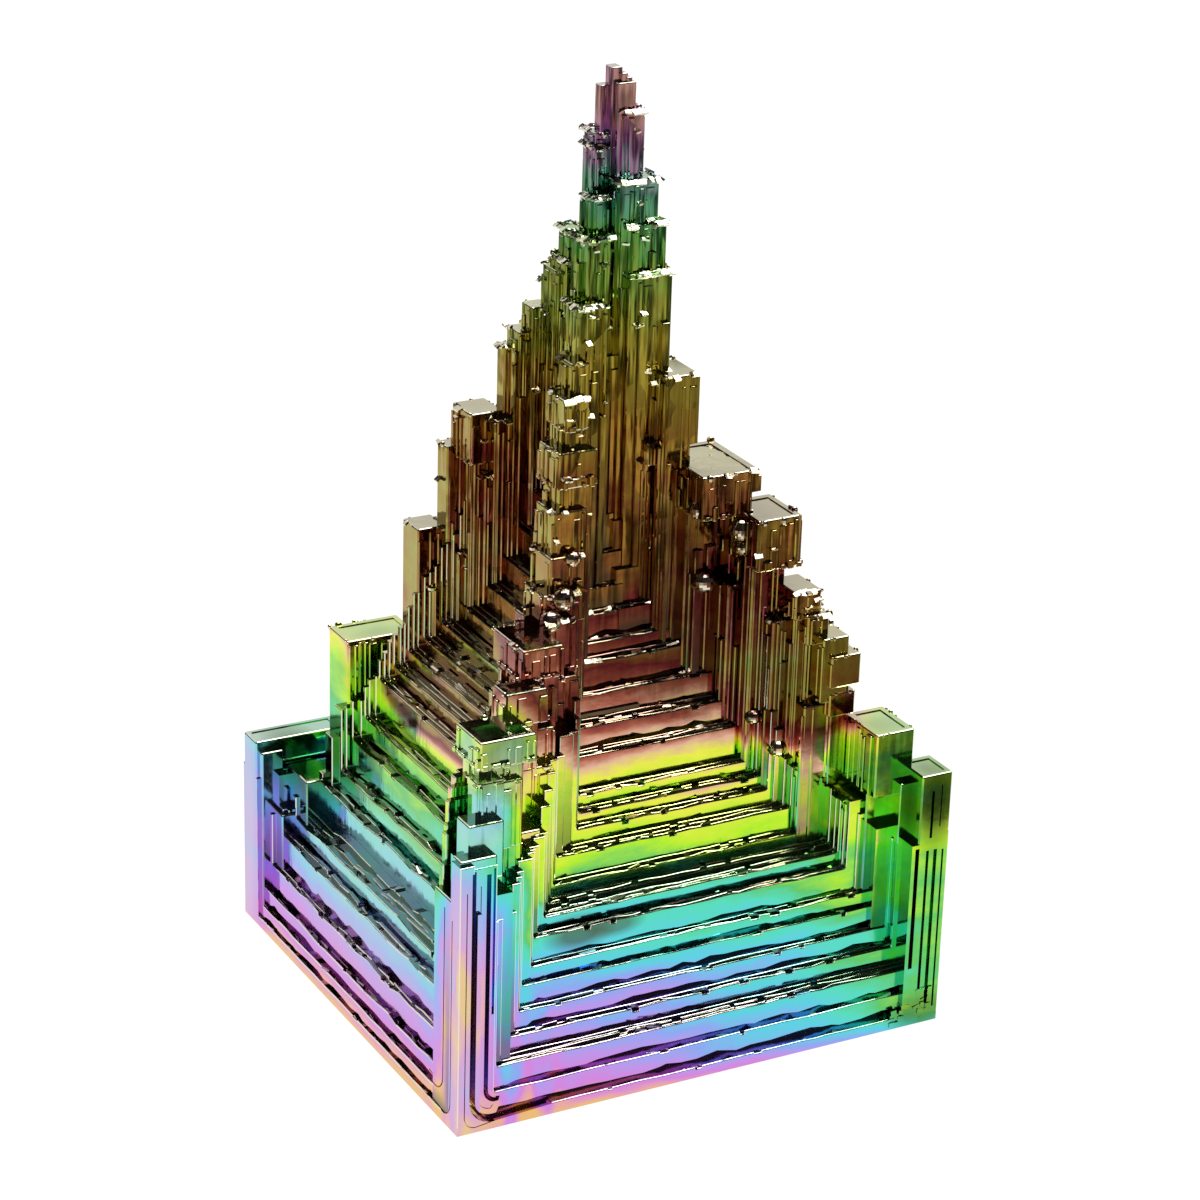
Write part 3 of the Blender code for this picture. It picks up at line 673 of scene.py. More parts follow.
def with_fine_steps(rows, fine_step, rng):
    """The rows of a face, each with whether it is a wall of the solid crystal or a fine step on a ledge."""
    steps = []
    for row, after in zip(rows, rows[1:]):
        steps.append((row, True))
        room = after[0] - row[0]
        count = min(int(room / fine_step), MOST_FINE_STEPS)
        for number in range(count):
            share = (number + rng.uniform(0.8, 1.3)) / (count + 0.9)
            step = [a + (b - a) * share for a, b in zip(row, after)]
            step[1] = min(row[1] + (number + 1) * rng.uniform(0.1, 0.2), after[1] - 0.15)
            step[4] += rng.uniform(-0.9, 0.5)
            step[5] += rng.uniform(-0.9, 0.5)
            steps.append((tuple(step), False))
    steps.append((rows[-1], True))
    return steps


def terrace_solids(face, sizes, rng):
    """All walls of one face, and the metal behind them."""
    width, depth = (BASE_X, BASE_Y) if face in LONG_FACES else (BASE_Y, BASE_X)
    slope = depth / width
    past = 0.3  # the metal from two opposite faces overlaps by this beyond the middle
    steps = with_fine_steps(TERRACES[face], sizes.fine_step / MM, rng)
    solids = []
    reach = (0.0, 0.0)
    for number, (row, main) in enumerate(steps):
        inset, top, left, right = row[:4]
        follow = steps[number + 1][0][0] if number + 1 < len(steps) else depth / 2
        back = max(max(left, right) * slope + 0.4, follow + 0.5, inset + 0.4)
        radius = max(1.5 - 0.6 * top, 0.22)
        solids.append(wall(face, row, reach, back, radius, sizes, rng))
        if main:
            corners = [(left, inset + 0.3), (width - right, inset + 0.3)]
            corners += [(width - right, depth / 2 + past), (left, depth / 2 + past)]
            plan = [on_face(face, along, away, 0)[:2] for along, away in corners]
            levels = (ROOT + 0.01 * number, top - 0.4)
            solids.append(stack([[(x, y, level) for x, y in plan] for level in levels]))
        reach = (left, right)
    return solids


def side_strip(side, x0, x1, y0, y1, at, wide, proud):
    """The plan of a strip on a side of a block, from where it starts, its width and how far out it is."""
    inner = 0.3  # how deep it is rooted in the block
    if side == "south":
        return (at, at + wide, y0 - proud, y0 + inner)
    if side == "north":
        return (at, at + wide, y1 - inner, y1 + proud)
    if side == "west":
        return (x0 - proud, x0 + inner, at, at + wide)
    return (x1 - inner, x1 + proud, at, at + wide)


def side_strips(box, sides, layers, sizes, rng):
    """Thin strips on the sides of a block: each layer stands further out and ends lower."""
    x0, x1, y0, y1, low, high = box
    strips = []
    usual = sizes.strip / MM
    chamfer = sizes.chamfer / MM
    for side in sides:
        start, end = (x0, x1) if side in LONG_FACES else (y0, y1)
        for layer in range(layers):
            at = start + rng.uniform(0.0, 0.3)
            while at < end - 0.2:
                wide = min(rng.uniform(0.4, 1.5) * usual, end - at)
                proud = rng.uniform(0.06, 0.2) + 0.17 * layer
                drop = (0.3 + 2.2 * layer) * rng.uniform(0.5, 3.0)
                top = max(high - drop, low + 0.4)
                if wide > 0.2 and rng.random() < 0.75 - 0.2 * layer:
                    plan = side_strip(side, x0, x1, y0, y1, at, wide, proud)
                    strips.append(block(*plan, low + rng.uniform(0.0, 0.15), top, chamfer, low > OVERHANG))
                at += wide + rng.uniform(0.0, 0.35)
    return strips


PLAIN_BLOCKS = 4  # the first blocks of each ridge, at its corner post, have no strips
INNER_BLOCKS = 11  # the blocks after the first so many have strips on all sides
DENSE_STRIPS = 28  # blocks that reach above this have two layers of strips
STAGGER = 0.003  # each block of a ridge starts this much higher, so no two undersides share a plane
# Of the drops and the flakes: how many, lowest block top that they are on, and size of the drops.
RIDGE_DROPS, RIDGE_FLAKES = (420, 22, 1.1), (400, 31)
SPIRE_DROPS, SPIRE_FLAKES = (260, 34, 1.35), (520, 36)
BARE_TIP = 69  # columns that reach above this are bare


def ridge_solids(sizes, rng):
    """The blocks of the four ridges, with thin strips, drops and flakes."""
    solids, boxes = [], []
    chamfer = sizes.chamfer / MM
    for sign_x, sign_y, rows in RIDGES.values():
        for number, (start_x, end_x, start_y, end_y, low, high) in enumerate(rows):
            x0, x1 = sorted((sign_x * (HALF_X - start_x), sign_x * (HALF_X - end_x)))
            y0, y1 = sorted((sign_y * (HALF_Y - start_y), sign_y * (HALF_Y - end_y)))
            box = (x0, x1, y0, y1, low + STAGGER * number, high)
            solids.append(block(*box, chamfer * 1.6, low > OVERHANG))
            inner = ("east" if sign_x < 0 else "west", "north" if sign_y < 0 else "south")
            outer = ("west" if sign_x < 0 else "east", "south" if sign_y < 0 else "north")
            sides = inner + outer if number >= INNER_BLOCKS or (sign_x < 0 and sign_y < 0) else inner
            if number >= PLAIN_BLOCKS:
                solids += side_strips(box, sides, 2 if high > DENSE_STRIPS else 1, sizes, rng)
                boxes.append(box)
    solids += [block(*box, chamfer) for box in BACKING]
    return solids + droplets(boxes, *RIDGE_DROPS, rng) + leaning_flakes(boxes, *RIDGE_FLAKES, rng)


def spire_solids(sizes, rng):
    """The bundle of columns in the middle and the lone columns, each with strips on all its sides."""
    solids, boxes = [], []
    chamfer = sizes.chamfer / MM
    for number, (x0, x1, y0, y1, high) in enumerate(SPIRE_COLUMNS + LONE_COLUMNS):
        low = 1.0 + 0.01 * number
        solids.append(block(x0, x1, y0, y1, low, high, chamfer))
        if high < BARE_TIP:
            boxes.append((x0, x1, y0, y1, low, high))
            solids += side_strips(boxes[-1], FACES, 3, sizes, rng)
    return solids + droplets(boxes, *SPIRE_DROPS, rng) + leaning_flakes(boxes, *SPIRE_FLAKES, rng)


def groove(face, path, width, inset, depth):
    """A cutter along a path on a face: distances along it and heights, from its start to its end."""
    sides = []
    for side in (-1, 1):
        line = []
        for number, (along, height) in enumerate(path):
            before, after = path[max(number - 1, 0)], path[min(number + 1, len(path) - 1)]
            run, rise = after[0] - before[0], after[1] - before[1]
            size = math.hypot(run, rise)
            line.append((along - side * rise / size * width / 2, height + side * run / size * width / 2))
        sides.append(line)
    return cutter(face, sides[0] + sides[1][::-1], inset - 0.3, inset + depth)


SHALLOWEST_LINE = 0.35  # least depth of an engraved line
LINE_DEPTH = 2.8  # depth of an engraved line over its width: a shallow one doesn't look dark


def engraved_lines():
    """Grooves down the posts beside the front corner, which turn and follow the foot of the face."""
    grooves = []
    for face, lines in ENGRAVED.items():
        for offset, foot, radius, top, reach, wide, inset in lines:
            path = [(offset, top), (offset, foot + radius)]
            path += arc((offset + radius, foot + radius), radius, 180, 270, 8)[1:]
            path.append((reach, foot + 0.25))
            if face == "west":  # its front corner is on its right
                path = [(face_width(face) - along, height) for along, height in path][::-1]
            grooves.append(groove(face, path, wide, inset, max(SHALLOWEST_LINE, LINE_DEPTH * wide)))
    return grooves


def leaning_flakes(boxes, count, lowest, rng):
    """Flakes that lean out of the sides of blocks: the tops of fine rods, which catch the light, and which
    the material paints pale as a painted highlight.
    """
    flakes = []
    candidates = [box for box in boxes if box[5] > lowest]
    for _ in range(count):
        x0, x1, y0, y1, low, high = rng.choice(candidates)
        face = rng.choice(FACES + ("south",))
        up = high - rng.choice((0.0, 0.0, rng.uniform(0.3, 9.0)))
        if up < max(lowest, low + 0.5):
            continue
        wide, deep = rng.uniform(0.3, 0.75), rng.uniform(0.3, 0.5)
        lean = rng.uniform(0.35, 0.65)
        sway = rng.uniform(-0.25, 0.25)
        if face in LONG_FACES:
            sign = -1 if face == "south" else 1
            middle = (rng.uniform(x0, x1), (y0 if sign < 0 else y1) + sign * rng.uniform(0.0, 0.36), up)
            size, leans = (wide, deep, 0.16), (-sign * lean, sway)
        else:
            sign = -1 if face == "west" else 1
            middle = ((x0 if sign < 0 else x1) + sign * rng.uniform(0.0, 0.36), rng.uniform(y0, y1), up)
            size, leans = (deep, wide, 0.16), (sway, sign * lean)
        flakes.append(tilted_chip(middle, size, rng.uniform(-0.3, 0.3), leans))
    return flakes


LOWEST_RISE = 0.9  # a wall lower than this has no gap at its foot
HIGHEST_GAP = 30  # nor has a wall whose foot is above this
WIDE_GAPS = 6  # below this height the gaps are wider


def undercuts(face, rng):
    """Cutters for the gap at the foot of every wall, and for the gaps beside its ends."""
    width = face_width(face)
    rows = TERRACES[face]
    cutters = []
    for row, after in zip(rows, rows[1:]):
        level, inset = row[1], after[0]
        rise = after[1] - level
        if rise < LOWEST_RISE or level > HIGHEST_GAP:
            continue
        start = max(row[2], after[2]) + rng.uniform(0.1, 0.5)
        end = width - max(row[3], after[3]) - rng.uniform(0.1, 0.5)
        usual = min(rng.uniform(0.3, 0.62) * (1.3 if level < WIDE_GAPS else 1.0), 0.36 * rise)
        points, along = [], end
        while along > start:
            points.append((along, level + usual * rng.uniform(0.55, 1.25)))
            along -= rng.uniform(0.5, 2.2)
        outline = [(start, level - 0.02), (end, level - 0.02)] + points + [(start, level + 0.06)]
        cutters.append(cutter(face, outline, inset - CUTTER_PROUD, inset + 0.6))
        for side in (0, 1):
            if (face, side) in SMOOTH_SIDES:
                continue
            edge, beyond = row[2 + side], after[2 + side]
            gap = min(rng.uniform(0.18, 0.42), 0.45 * (beyond - edge))
            peak = min(row[4 + side], after[4 + side]) - 0.4
            if gap < 0.12 or peak < level + 1:
                continue
            near, far = (edge - 0.03, edge + gap)
            if side:
                near, far = width - far, width - near
            outline = [(near, level - 0.02), (far, level - 0.02), (far, peak), (near, peak)]
            cutters.append(cutter(face, outline, inset - CUTTER_PROUD, inset + 0.7))
    return cutters


def tilted_chip(middle, size, turn, lean):
    """A small flake: a box turned about the upright axis and leaning."""
    half = [value / 2 for value in size]
    rotation = Matrix.Rotation(turn, 3, "Z") @ Matrix.Rotation(lean[0], 3, "X")
    rotation = rotation @ Matrix.Rotation(lean[1], 3, "Y")
    rings = []
    for up in (-1, 1):
        ring = []
        for right, front in ((-1, -1), (1, -1), (1, 1), (-1, 1)):
            point = rotation @ Vector((right * half[0], front * half[1], up * half[2]))
            ring.append(tuple(a + b for a, b in zip(middle, point)))
        rings.append(ring)
    return stack(rings)


LEANING_CHIPS = 21  # above this height most chips lean outwards, and they lie closer together


def ledge_chips(face, rng):
    """Flakes and crumbs along every ledge of a face."""
    width = face_width(face)
    rows = TERRACES[face]
    chips = []
    for row, after in zip(rows, rows[1:]):
        inset, top, left, right = row[:4]
        room = after[0] - inset
        along = left + rng.uniform(0.3, 1.0)
        while along < width - right - 0.4:
            long = rng.uniform(0.25, 1.3)
            size = (long, rng.uniform(0.12, 0.3), rng.uniform(0.10, 0.22))
            if face not in LONG_FACES:
                size = (size[1], size[0], size[2])
            away = inset + rng.uniform(0.15, max(room, 0.3))
            middle = on_face(face, along, away, top + rng.uniform(-0.06, 0.06))
            lean = (rng.uniform(-0.3, 0.3), rng.uniform(-0.3, 0.3))
            if top > LEANING_CHIPS and rng.random() < 0.7:
                outward = rng.uniform(0.35, 0.65)
                lean = {
                    "south": (outward, lean[1]), "north": (-outward, lean[1]),
                    "west": (lean[0], -outward), "east": (lean[0], outward),
                }[face]
                size = tuple(value * rng.uniform(1.1, 1.8) for value in size)
            chips.append(tilted_chip(middle, size, rng.uniform(-0.12, 0.12), lean))
            along += long + rng.uniform(0.2, 2.6 if top < LEANING_CHIPS else 1.3)
    return chips


FOOT_CRUMBS = 34  # crumbs and flakes to try
FOOT_SPREAD = 4.5  # how far from the corner the foot is crumbled
FOOT_HEIGHT = 3.4  # how high it is crumbled at the corner


def crumbled_foot(rng):
    """Crumbs and short flakes at the foot of the right corner."""
    crumbs = []
    for _ in range(FOOT_CRUMBS):
        spread = rng.random() ** 1.3
        right = HALF_X - 0.6 - FOOT_SPREAD * spread
        middle = (right, -HALF_Y + rng.uniform(0.02, 0.1), 0.35 + rng.random() * 3.2)
        if middle[2] > FOOT_HEIGHT - 2.4 * spread:
            continue
        size = (rng.uniform(0.3, 0.9), 0.22, rng.uniform(0.15, 0.4))
        lean = (rng.uniform(-0.15, 0.15), rng.uniform(-0.5, 0.1))
        crumbs.append(tilted_chip(middle, size, rng.uniform(-0.15, 0.15), lean))
    return crumbs


def droplets(boxes, count, lowest, size, rng):
    """Tiny frozen drops on the upper edges of blocks."""
    drops = []
    candidates = [box for box in boxes if box[5] > lowest]
    for _ in range(count):
        x0, x1, y0, y1, _low, high = rng.choice(candidates)
        along = rng.random()
        edge = rng.choice(FACES)
        x, y = x0 + along * (x1 - x0), y0 + along * (y1 - y0)
        x = {"west": x0, "east": x1}.get(edge, x)
        y = {"south": y0, "north": y1}.get(edge, y)
        radius = rng.choice((0.09, 0.12, 0.16, 0.22)) * rng.uniform(0.8, 1.3) * size
        drops.append(ball((x, y, high - radius * rng.uniform(0.0, 0.8)), radius, rng, 5, 8))
    return drops


def ball(middle, radius, rng, rings=14, around=24):
    """A frozen bead or drop: a slightly uneven ball."""
    squash = [rng.uniform(0.85, 1.12) for _ in range(3)]
    points = [(middle[0], middle[1], middle[2] - radius * squash[2])]
    for ring in range(1, rings):
        polar = math.pi * ring / rings
        for step in range(around):
            angle = 2 * math.pi * step / around
            level = math.sin(polar)
            direction = (level * math.cos(angle), level * math.sin(angle), -math.cos(polar))
            points.append(tuple(m + radius * s * d for m, s, d in zip(middle, squash, direction)))
    points.append((middle[0], middle[1], middle[2] + radius * squash[2]))
    faces = [(0, 1 + (step + 1) % around, 1 + step) for step in range(around)]
    for ring in range(rings - 2):
        low = 1 + ring * around
        high = low + around
        for step in range(around):
            follow = (step + 1) % around
            faces.append((low + step, low + follow, high + follow, high + step))
    last, top = 1 + (rings - 2) * around, len(points) - 1
    faces += [(last + step, last + (step + 1) % around, top) for step in range(around)]
    return points, faces


# ---------------------------------------------------------------- growing the solids together

GROWTH = "growth"
HOLLOWS = "hollows"


def kept_collection(name):
    """The collection that holds solids until they are grown together."""
    found = bpy.data.collections.get(name)
    if not found:
        found = bpy.data.collections.new(name)
        bpy.context.scene.collection.children.link(found)
    return found


def keep_solids(name, solids, group=GROWTH):
    """Keep solids, in millimetres, until they are grown together."""
    collection = kept_collection(group)
    for number, (points, faces) in enumerate(solids):
        mesh = bpy.data.meshes.new(f"{name}_{number}")
        mesh.from_pydata([[round(value, 4) * MM for value in point] for point in points], [], faces)
        collection.objects.link(bpy.data.objects.new(f"{name}_{number}", mesh))


def keep_largest(mesh):
    """Leave only the largest connected piece of a mesh: crumbs that touch nothing fall away."""
    work = bmesh.new()
    work.from_mesh(mesh)
    work.verts.ensure_lookup_table()
    seen = [False] * len(work.verts)
    islands = []
    for first in work.verts:
        if seen[first.index]:
            continue
        island, front = [], [first]
        seen[first.index] = True
        while front:
            vertex = front.pop()
            island.append(vertex)
            for edge in vertex.link_edges:
                other = edge.other_vert(vertex)
                if not seen[other.index]:
                    seen[other.index] = True
                    front.append(other)
        islands.append(island)
    islands.sort(key=len)
    loose = [vertex for island in islands[:-1] for vertex in island]
    bmesh.ops.delete(work, geom=loose, context="VERTS")
    work.to_mesh(mesh)
    work.free()


def grow_together(name):
    """One closed mesh from all the kept solids, less the hollows."""
    growth, hollows = kept_collection(GROWTH), kept_collection(HOLLOWS)
    seed = growth.objects[0]
    thing = bpy.data.objects.new(name, seed.data.copy())
    bpy.context.scene.collection.objects.link(thing)
    growth.objects.unlink(seed)
    for collection, operation in ((growth, "UNION"), (hollows, "DIFFERENCE")):
        boolean = thing.modifiers.new(operation, "BOOLEAN")
        boolean.operation = operation
        boolean.operand_type = "COLLECTION"
        boolean.collection = collection
        boolean.solver = "MANIFOLD"
    evaluated = thing.evaluated_get(bpy.context.evaluated_depsgraph_get())
    grown = bpy.data.meshes.new_from_object(evaluated)
    thing.modifiers.clear()
    thing.data = grown
    bpy.data.objects.remove(seed)
    for collection in (growth, hollows):
        for member in list(collection.objects):
            bpy.data.objects.remove(member)
        bpy.data.collections.remove(collection)
    for mesh in [mesh for mesh in bpy.data.meshes if not mesh.users]:
        bpy.data.meshes.remove(mesh)
    if len(grown.polygons) < FEWEST_FACES:
        raise RuntimeError("the solids did not grow together")
    keep_largest(grown)
    grown.name = name
    return thing


# ---------------------------------------------------------------- the film's thickness

# Film thickness, as a place on the colour scale from 0 to 1, by height in millimetres.
FILM_BY_HEIGHT = {
    "south": [
        (0, 0.03), (0.6, 0.065), (1.6, 0.10), (2.7, 0.12), (4.5, 0.15), (7.5, 0.22), (10.3, 0.30),
        (13.3, 0.375), (14.2, 0.42), (14.7, 0.515), (16.4, 0.53), (18, 0.555), (20, 0.585), (21.4, 0.605),
        (22.2, 0.645), (24, 0.69), (28, 0.725), (36, 0.75), (40, 0.77), (44, 0.79), (48, 0.815),
        (53, 0.85), (57, 0.88), (60, 0.905), (62, 0.925), (64, 0.95), (66, 0.965), (68, 0.975), (71, 0.982),
    ],
    "west": [
        (0, 0.05), (2, 0.10), (3.3, 0.14), (5.4, 0.18), (8.3, 0.25), (10, 0.32), (13, 0.36), (15, 0.43),
        (17.6, 0.48), (19.4, 0.46), (21, 0.62), (22, 0.74), (24, 0.80), (28, 0.815), (34, 0.80), (40, 0.785),
        (48, 0.82), (53, 0.85), (57, 0.875), (60, 0.90), (62, 0.92), (64, 0.95), (66, 0.965), (68, 0.975),
        (71, 0.982),
    ],
}
TALLEST = 71.0

# The strips whose film runs down in drops: their middle, and how far from it the drops start to fade and end.
DROPS_MIDDLE = (-16.5, -18.0, 0.0)
DROPS_REACH = (3.6, 5.6)

# Sizes of the patterns in the film and in the metal, in millimetres.
PATCH = 6.0  # patches of thinner and thicker film
DROP = 1.9  # drops of film
GLINT = 1.6  # bright and dull stretches of an edge
WAVE = 1.2  # waves in the frozen metal
ROD = 0.8  # upright rods: the real ones are finer, and would not show
BUNCH = 3.5  # bunches of rods that stand out more

# Flat tops are painted pale by this share: a painted sheen on the tops.
TOP_SHEEN = 0.6  # how far flat tops have the colour of bare metal
# The fine steps of the ledges are darkened by this share: partly crumbled metal, partly painted shade.
CRUMBS_AND_SHADE_SHARE = 0.72  # how far fine steps have the colour of crumbled metal
PLACE_EDGE = (1.2, 0.5)  # shares of its half-size at which a place starts to differ, and differs fully

# Places with a tint of their own, painted shade or painted light: middle and half-size in millimetres,
# colour, and how much of it.
TINTED_PLACES = [
    ((-15.4, -14.6, 26.6), (3.6, 3.6, 3.2), "pale_metal_and_sheen", 0.6),  # hollow block
    ((-20.0, -19.0, 9.0), (2.6, 2.6, 16.0), "pale_metal_and_sheen", 0.3),  # front post
    ((-19.5, 19.0, 9.0), (4.0, 3.0, 16.0), "pale_metal_and_sheen", 0.35),  # left post
    ((-17.5, -16.8, 22.4), (2.4, 2.2, 2.6), "pale_metal_and_sheen", 0.35),  # small block
    # The dark film entries below are painted shade: in the engraved lines, at the crumbled foot, in recesses
    # and under overhangs.
    ((-18.85, -17.9, 11.0), (0.32, 0.9, 12.0), "painted_shade", 0.95),  # engraved lines
    ((-17.65, -17.6, 11.0), (0.28, 0.95, 11.0), "painted_shade", 0.95),
    # The dark red film deep between the ridges, darkened there as painted shade.
    ((2.0, -8.5, 33.0), (8.5, 5.0, 9.5), "wine_film_and_shade", 0.6),  # deep between the ridges
    ((18.6, -19.0, 1.0), (3.0, 1.0, 1.8), "painted_shade", 0.5),  # crumbled foot of the right corner
    ((-17.2, 13.5, 15.5), (2.4, 5.5, 4.5), "painted_shade", 0.6),  # inner side of the left post
    ((-12.0, 11.4, 22.6), (3.2, 2.0, 3.0), "painted_shade", 0.5),  # under the second block on the left
    ((10.5, -9.5, 26.5), (3.0, 3.5, 5.5), "painted_shade", 0.45),  # inner side of the right ridge
    ((18.7, -18.0, 17.6), (2.2, 2.6, 3.6), "painted_shade", 0.75),  # under the right post's cap
    ((15.5, -15.0, 20.5), (2.5, 2.5, 3.2), "painted_shade", 0.45),
    ((-18.5, 0.0, 11.5), (4.5, 16.5, 8.0), "pale_metal_and_sheen", 0.26),  # milky middle of the left walls
    # A faint painted light: the brown walls on the left are lightened a little with the pale colour of the
    # edges.
    ((-11.0, -1.0, 30.0), (6.5, 13.0, 11.0), "painted_highlight", 0.06),  # brown walls on the left
    ((-8.7, -15.4, 11.8), (2.6, 3.0, 1.15), "crumbs", 0.75),  # dull patch on the turquoise band
    ((-5.8, -15.4, 11.9), (2.2, 3.0, 0.85), "crumbs", 0.65),
]

# Places where the film differs: middle and half-size in millimetres, film there, and how fully it takes over.
FILM_PLACES = [
    ((-15.5, -18.0, 7.0), (3.2, 4.0, 9.0), 0.25, 0.6),  # strips beside the front post
    ((-15.2, -17.0, 15.0), (3.2, 4.5, 6.0), 0.37, 0.85),  # their upper half
    ((-20.0, -19.0, 8.0), (4.4, 4.4, 18.0), 0.12, 0.9),  # front post
    ((-20.0, -19.0, -0.6), (9.0, 9.0, 3.6), 0.015, 0.95),  # foot of the front corner
    ((-20.0, -19.0, 3.0), (1.0, 1.0, 9.0), 0.03, 0.7),  # its edge
    ((-17.0, -13.0, 21.0), (4.0, 5.0, 6.0), 0.47, 0.7),  # above the front post, left
    ((-9.5, -12.0, 20.0), (3.4, 5.0, 6.5), 0.545, 0.8),  # bright strips above the front post, right
    ((-17.2, -16.6, 23.0), (3.0, 2.6, 3.6), 0.27, 0.8),  # grey-violet block
    ((-15.2, -14.4, 27.8), (4.4, 4.2, 3.0), 0.42, 0.85),  # pale hollow block above it
    ((-9.5, -8.5, 31.5), (4.0, 4.0, 3.0), 0.665, 0.7),
    ((-17.0, 18.0, 8.0), (6.5, 4.5, 12.0), 0.19, 0.9),  # left post
    ((-16.6, 13.5, 16.0), (2.6, 6.0, 5.0), 0.46, 0.8),  # inner side of the left post
    ((-12.0, 13.0, 22.0), (6.0, 5.0, 6.0), 0.47, 0.8),
    ((18.5, -17.5, 7.5), (3.6, 5.0, 11.0), 0.475, 0.8),  # right post
    ((17.5, -16.0, 20.5), (5.0, 5.5, 5.2), 0.47, 0.85),  # right post's cap
    ((12.0, -11.0, 27.0), (5.0, 5.0, 6.0), 0.84, 0.7),
    ((13.2, -14.5, 13.5), (2.2, 3.0, 5.5), 0.50, 0.7),
]


def wall_layer(face, inset, along, height):
    """How far up its own wall a point is, from 0 to 1, and whether it is on the fine steps of a ledge."""
    rows = TERRACES[face]
    width = face_width(face)
    insets = np.array([row[0] for row in rows])
    tops = np.array([row[1] for row in rows])
    found = np.clip(np.searchsorted(insets, inset + 0.02, side="right") - 1, 0, len(rows) - 1)
    low = np.where(found > 0, tops[np.maximum(found - 1, 0)], 0.0)
    rise = np.clip((height - low) / np.maximum(tops[found] - low, 0.3), 0, 1)
    lefts = np.array([row[2] for row in rows])
    rights = np.array([row[3] for row in rows])
    on_ledge = (inset > insets[found] + 0.04) & (along > lefts[found]) & (along < width - rights[found])
    on_ledge &= (height > tops[found] - 0.5) & (height < tops[found] + 0.9)
    follow = insets[np.minimum(found + 1, len(rows) - 1)]
    on_ledge &= (inset < follow - 0.03) | (found == len(rows) - 1)
    return rise, on_ledge


def scatter(values):
    """Numbers between 0 and 1 that look random but are always the same for the same values."""
    mixed = np.sin(np.round(values, 1) * 127.1 + 311.7) * 43758.5453
    return mixed - np.floor(mixed)


def store_layers(thing):
    """Store what the film needs: the rise up each wall, a number of each wall's own, and the ledges."""
    mesh = thing.data
    places = np.zeros(len(mesh.vertices) * 3, np.float32)
    mesh.vertices.foreach_get("co", places)
    corner = np.zeros(len(mesh.loops), np.int32)
    mesh.loops.foreach_get("vertex_index", corner)
    normals = np.zeros(len(mesh.polygons) * 3, np.float32)
    mesh.polygons.foreach_get("normal", normals)
    totals = np.zeros(len(mesh.polygons), np.int32)
    mesh.polygons.foreach_get("loop_total", totals)
    points = places.reshape(-1, 3)[corner] / MM
    facing = np.repeat(normals.reshape(-1, 3), totals, axis=0)
    x, y, z = points.T
    outward = np.stack([-facing[:, 1], -facing[:, 0], facing[:, 1], facing[:, 0]])
    chosen = outward.argmax(0)
    insets = np.stack([HALF_Y + y, HALF_X + x, HALF_Y - y, HALF_X - x])
    alongs = np.stack([HALF_X + x, HALF_Y - y, HALF_X - x, HALF_Y + y])
    rise, crumb = np.zeros(len(z)), np.zeros(len(z))
    for number, face in enumerate(FACES):
        here = chosen == number
        rise[here], crumb[here] = wall_layer(face, insets[number][here], alongs[number][here], z[here])
    upright = np.abs(facing[:, 2]) < 0.5
    plane = np.where(upright, (points * facing).sum(1) + 17 * chosen, z * 3 + 90)
    for name, values in (
        ("rise", np.where(upright, rise, 0.5)),
        ("layer", scatter(plane)),
        ("crumb", crumb),
    ):
        attribute = mesh.attributes.new(name, "FLOAT", "CORNER")
        attribute.data.foreach_set("value", values.astype(np.float32))


# ---------------------------------------------------------------- materials


def add_node(tree, kind, settings=None, inputs=(), output=0):
    """Add a node with its settings and its inputs, and return one of its outputs.

    The inputs are a table by name or number, or come in order. Each is a value, or the output that feeds it.
    """
    node = tree.nodes.new(f"ShaderNode{kind}")
    for key, value in (settings or {}).items():
        setattr(node, key, value)
    for key, given in inputs.items() if isinstance(inputs, dict) else enumerate(inputs):
        if isinstance(given, bpy.types.NodeSocket):
            tree.links.new(given, node.inputs[key])
        else:
            node.inputs[key].default_value = given
    return node.outputs[output]


# Settings that many nodes share.
FLOATS = {"data_type": "FLOAT"}
COLOURS = {"data_type": "RGBA"}
PLUS, MINUS, TIMES, SIZE, HIGHER, LOWER, ABOVE = (
    {"operation": name}
    for name in ("ADD", "SUBTRACT", "MULTIPLY", "ABSOLUTE", "MAXIMUM", "MINIMUM", "GREATER_THAN")
)


def new_material(name):
    """A material with a plain Principled surface, and that surface's inputs."""
    material = bpy.data.materials.new(name)
    material.use_nodes = True
    return material, material.node_tree.nodes["Principled BSDF"].inputs


def share_near(add, place, middle, size, strength):
    """How fully a place with a soft edge takes over: strength in its middle, and nothing outside it."""
    away = add("VectorMath", MINUS, (place, [value * MM for value in middle]))
    scaled = add("VectorMath", TIMES, (away, [1 / (value * MM) for value in size]))
    distance = add("VectorMath", {"operation": "LENGTH"}, (scaled,), "Value")
    return add("MapRange", None, (distance, *PLACE_EDGE, 0.0, strength))


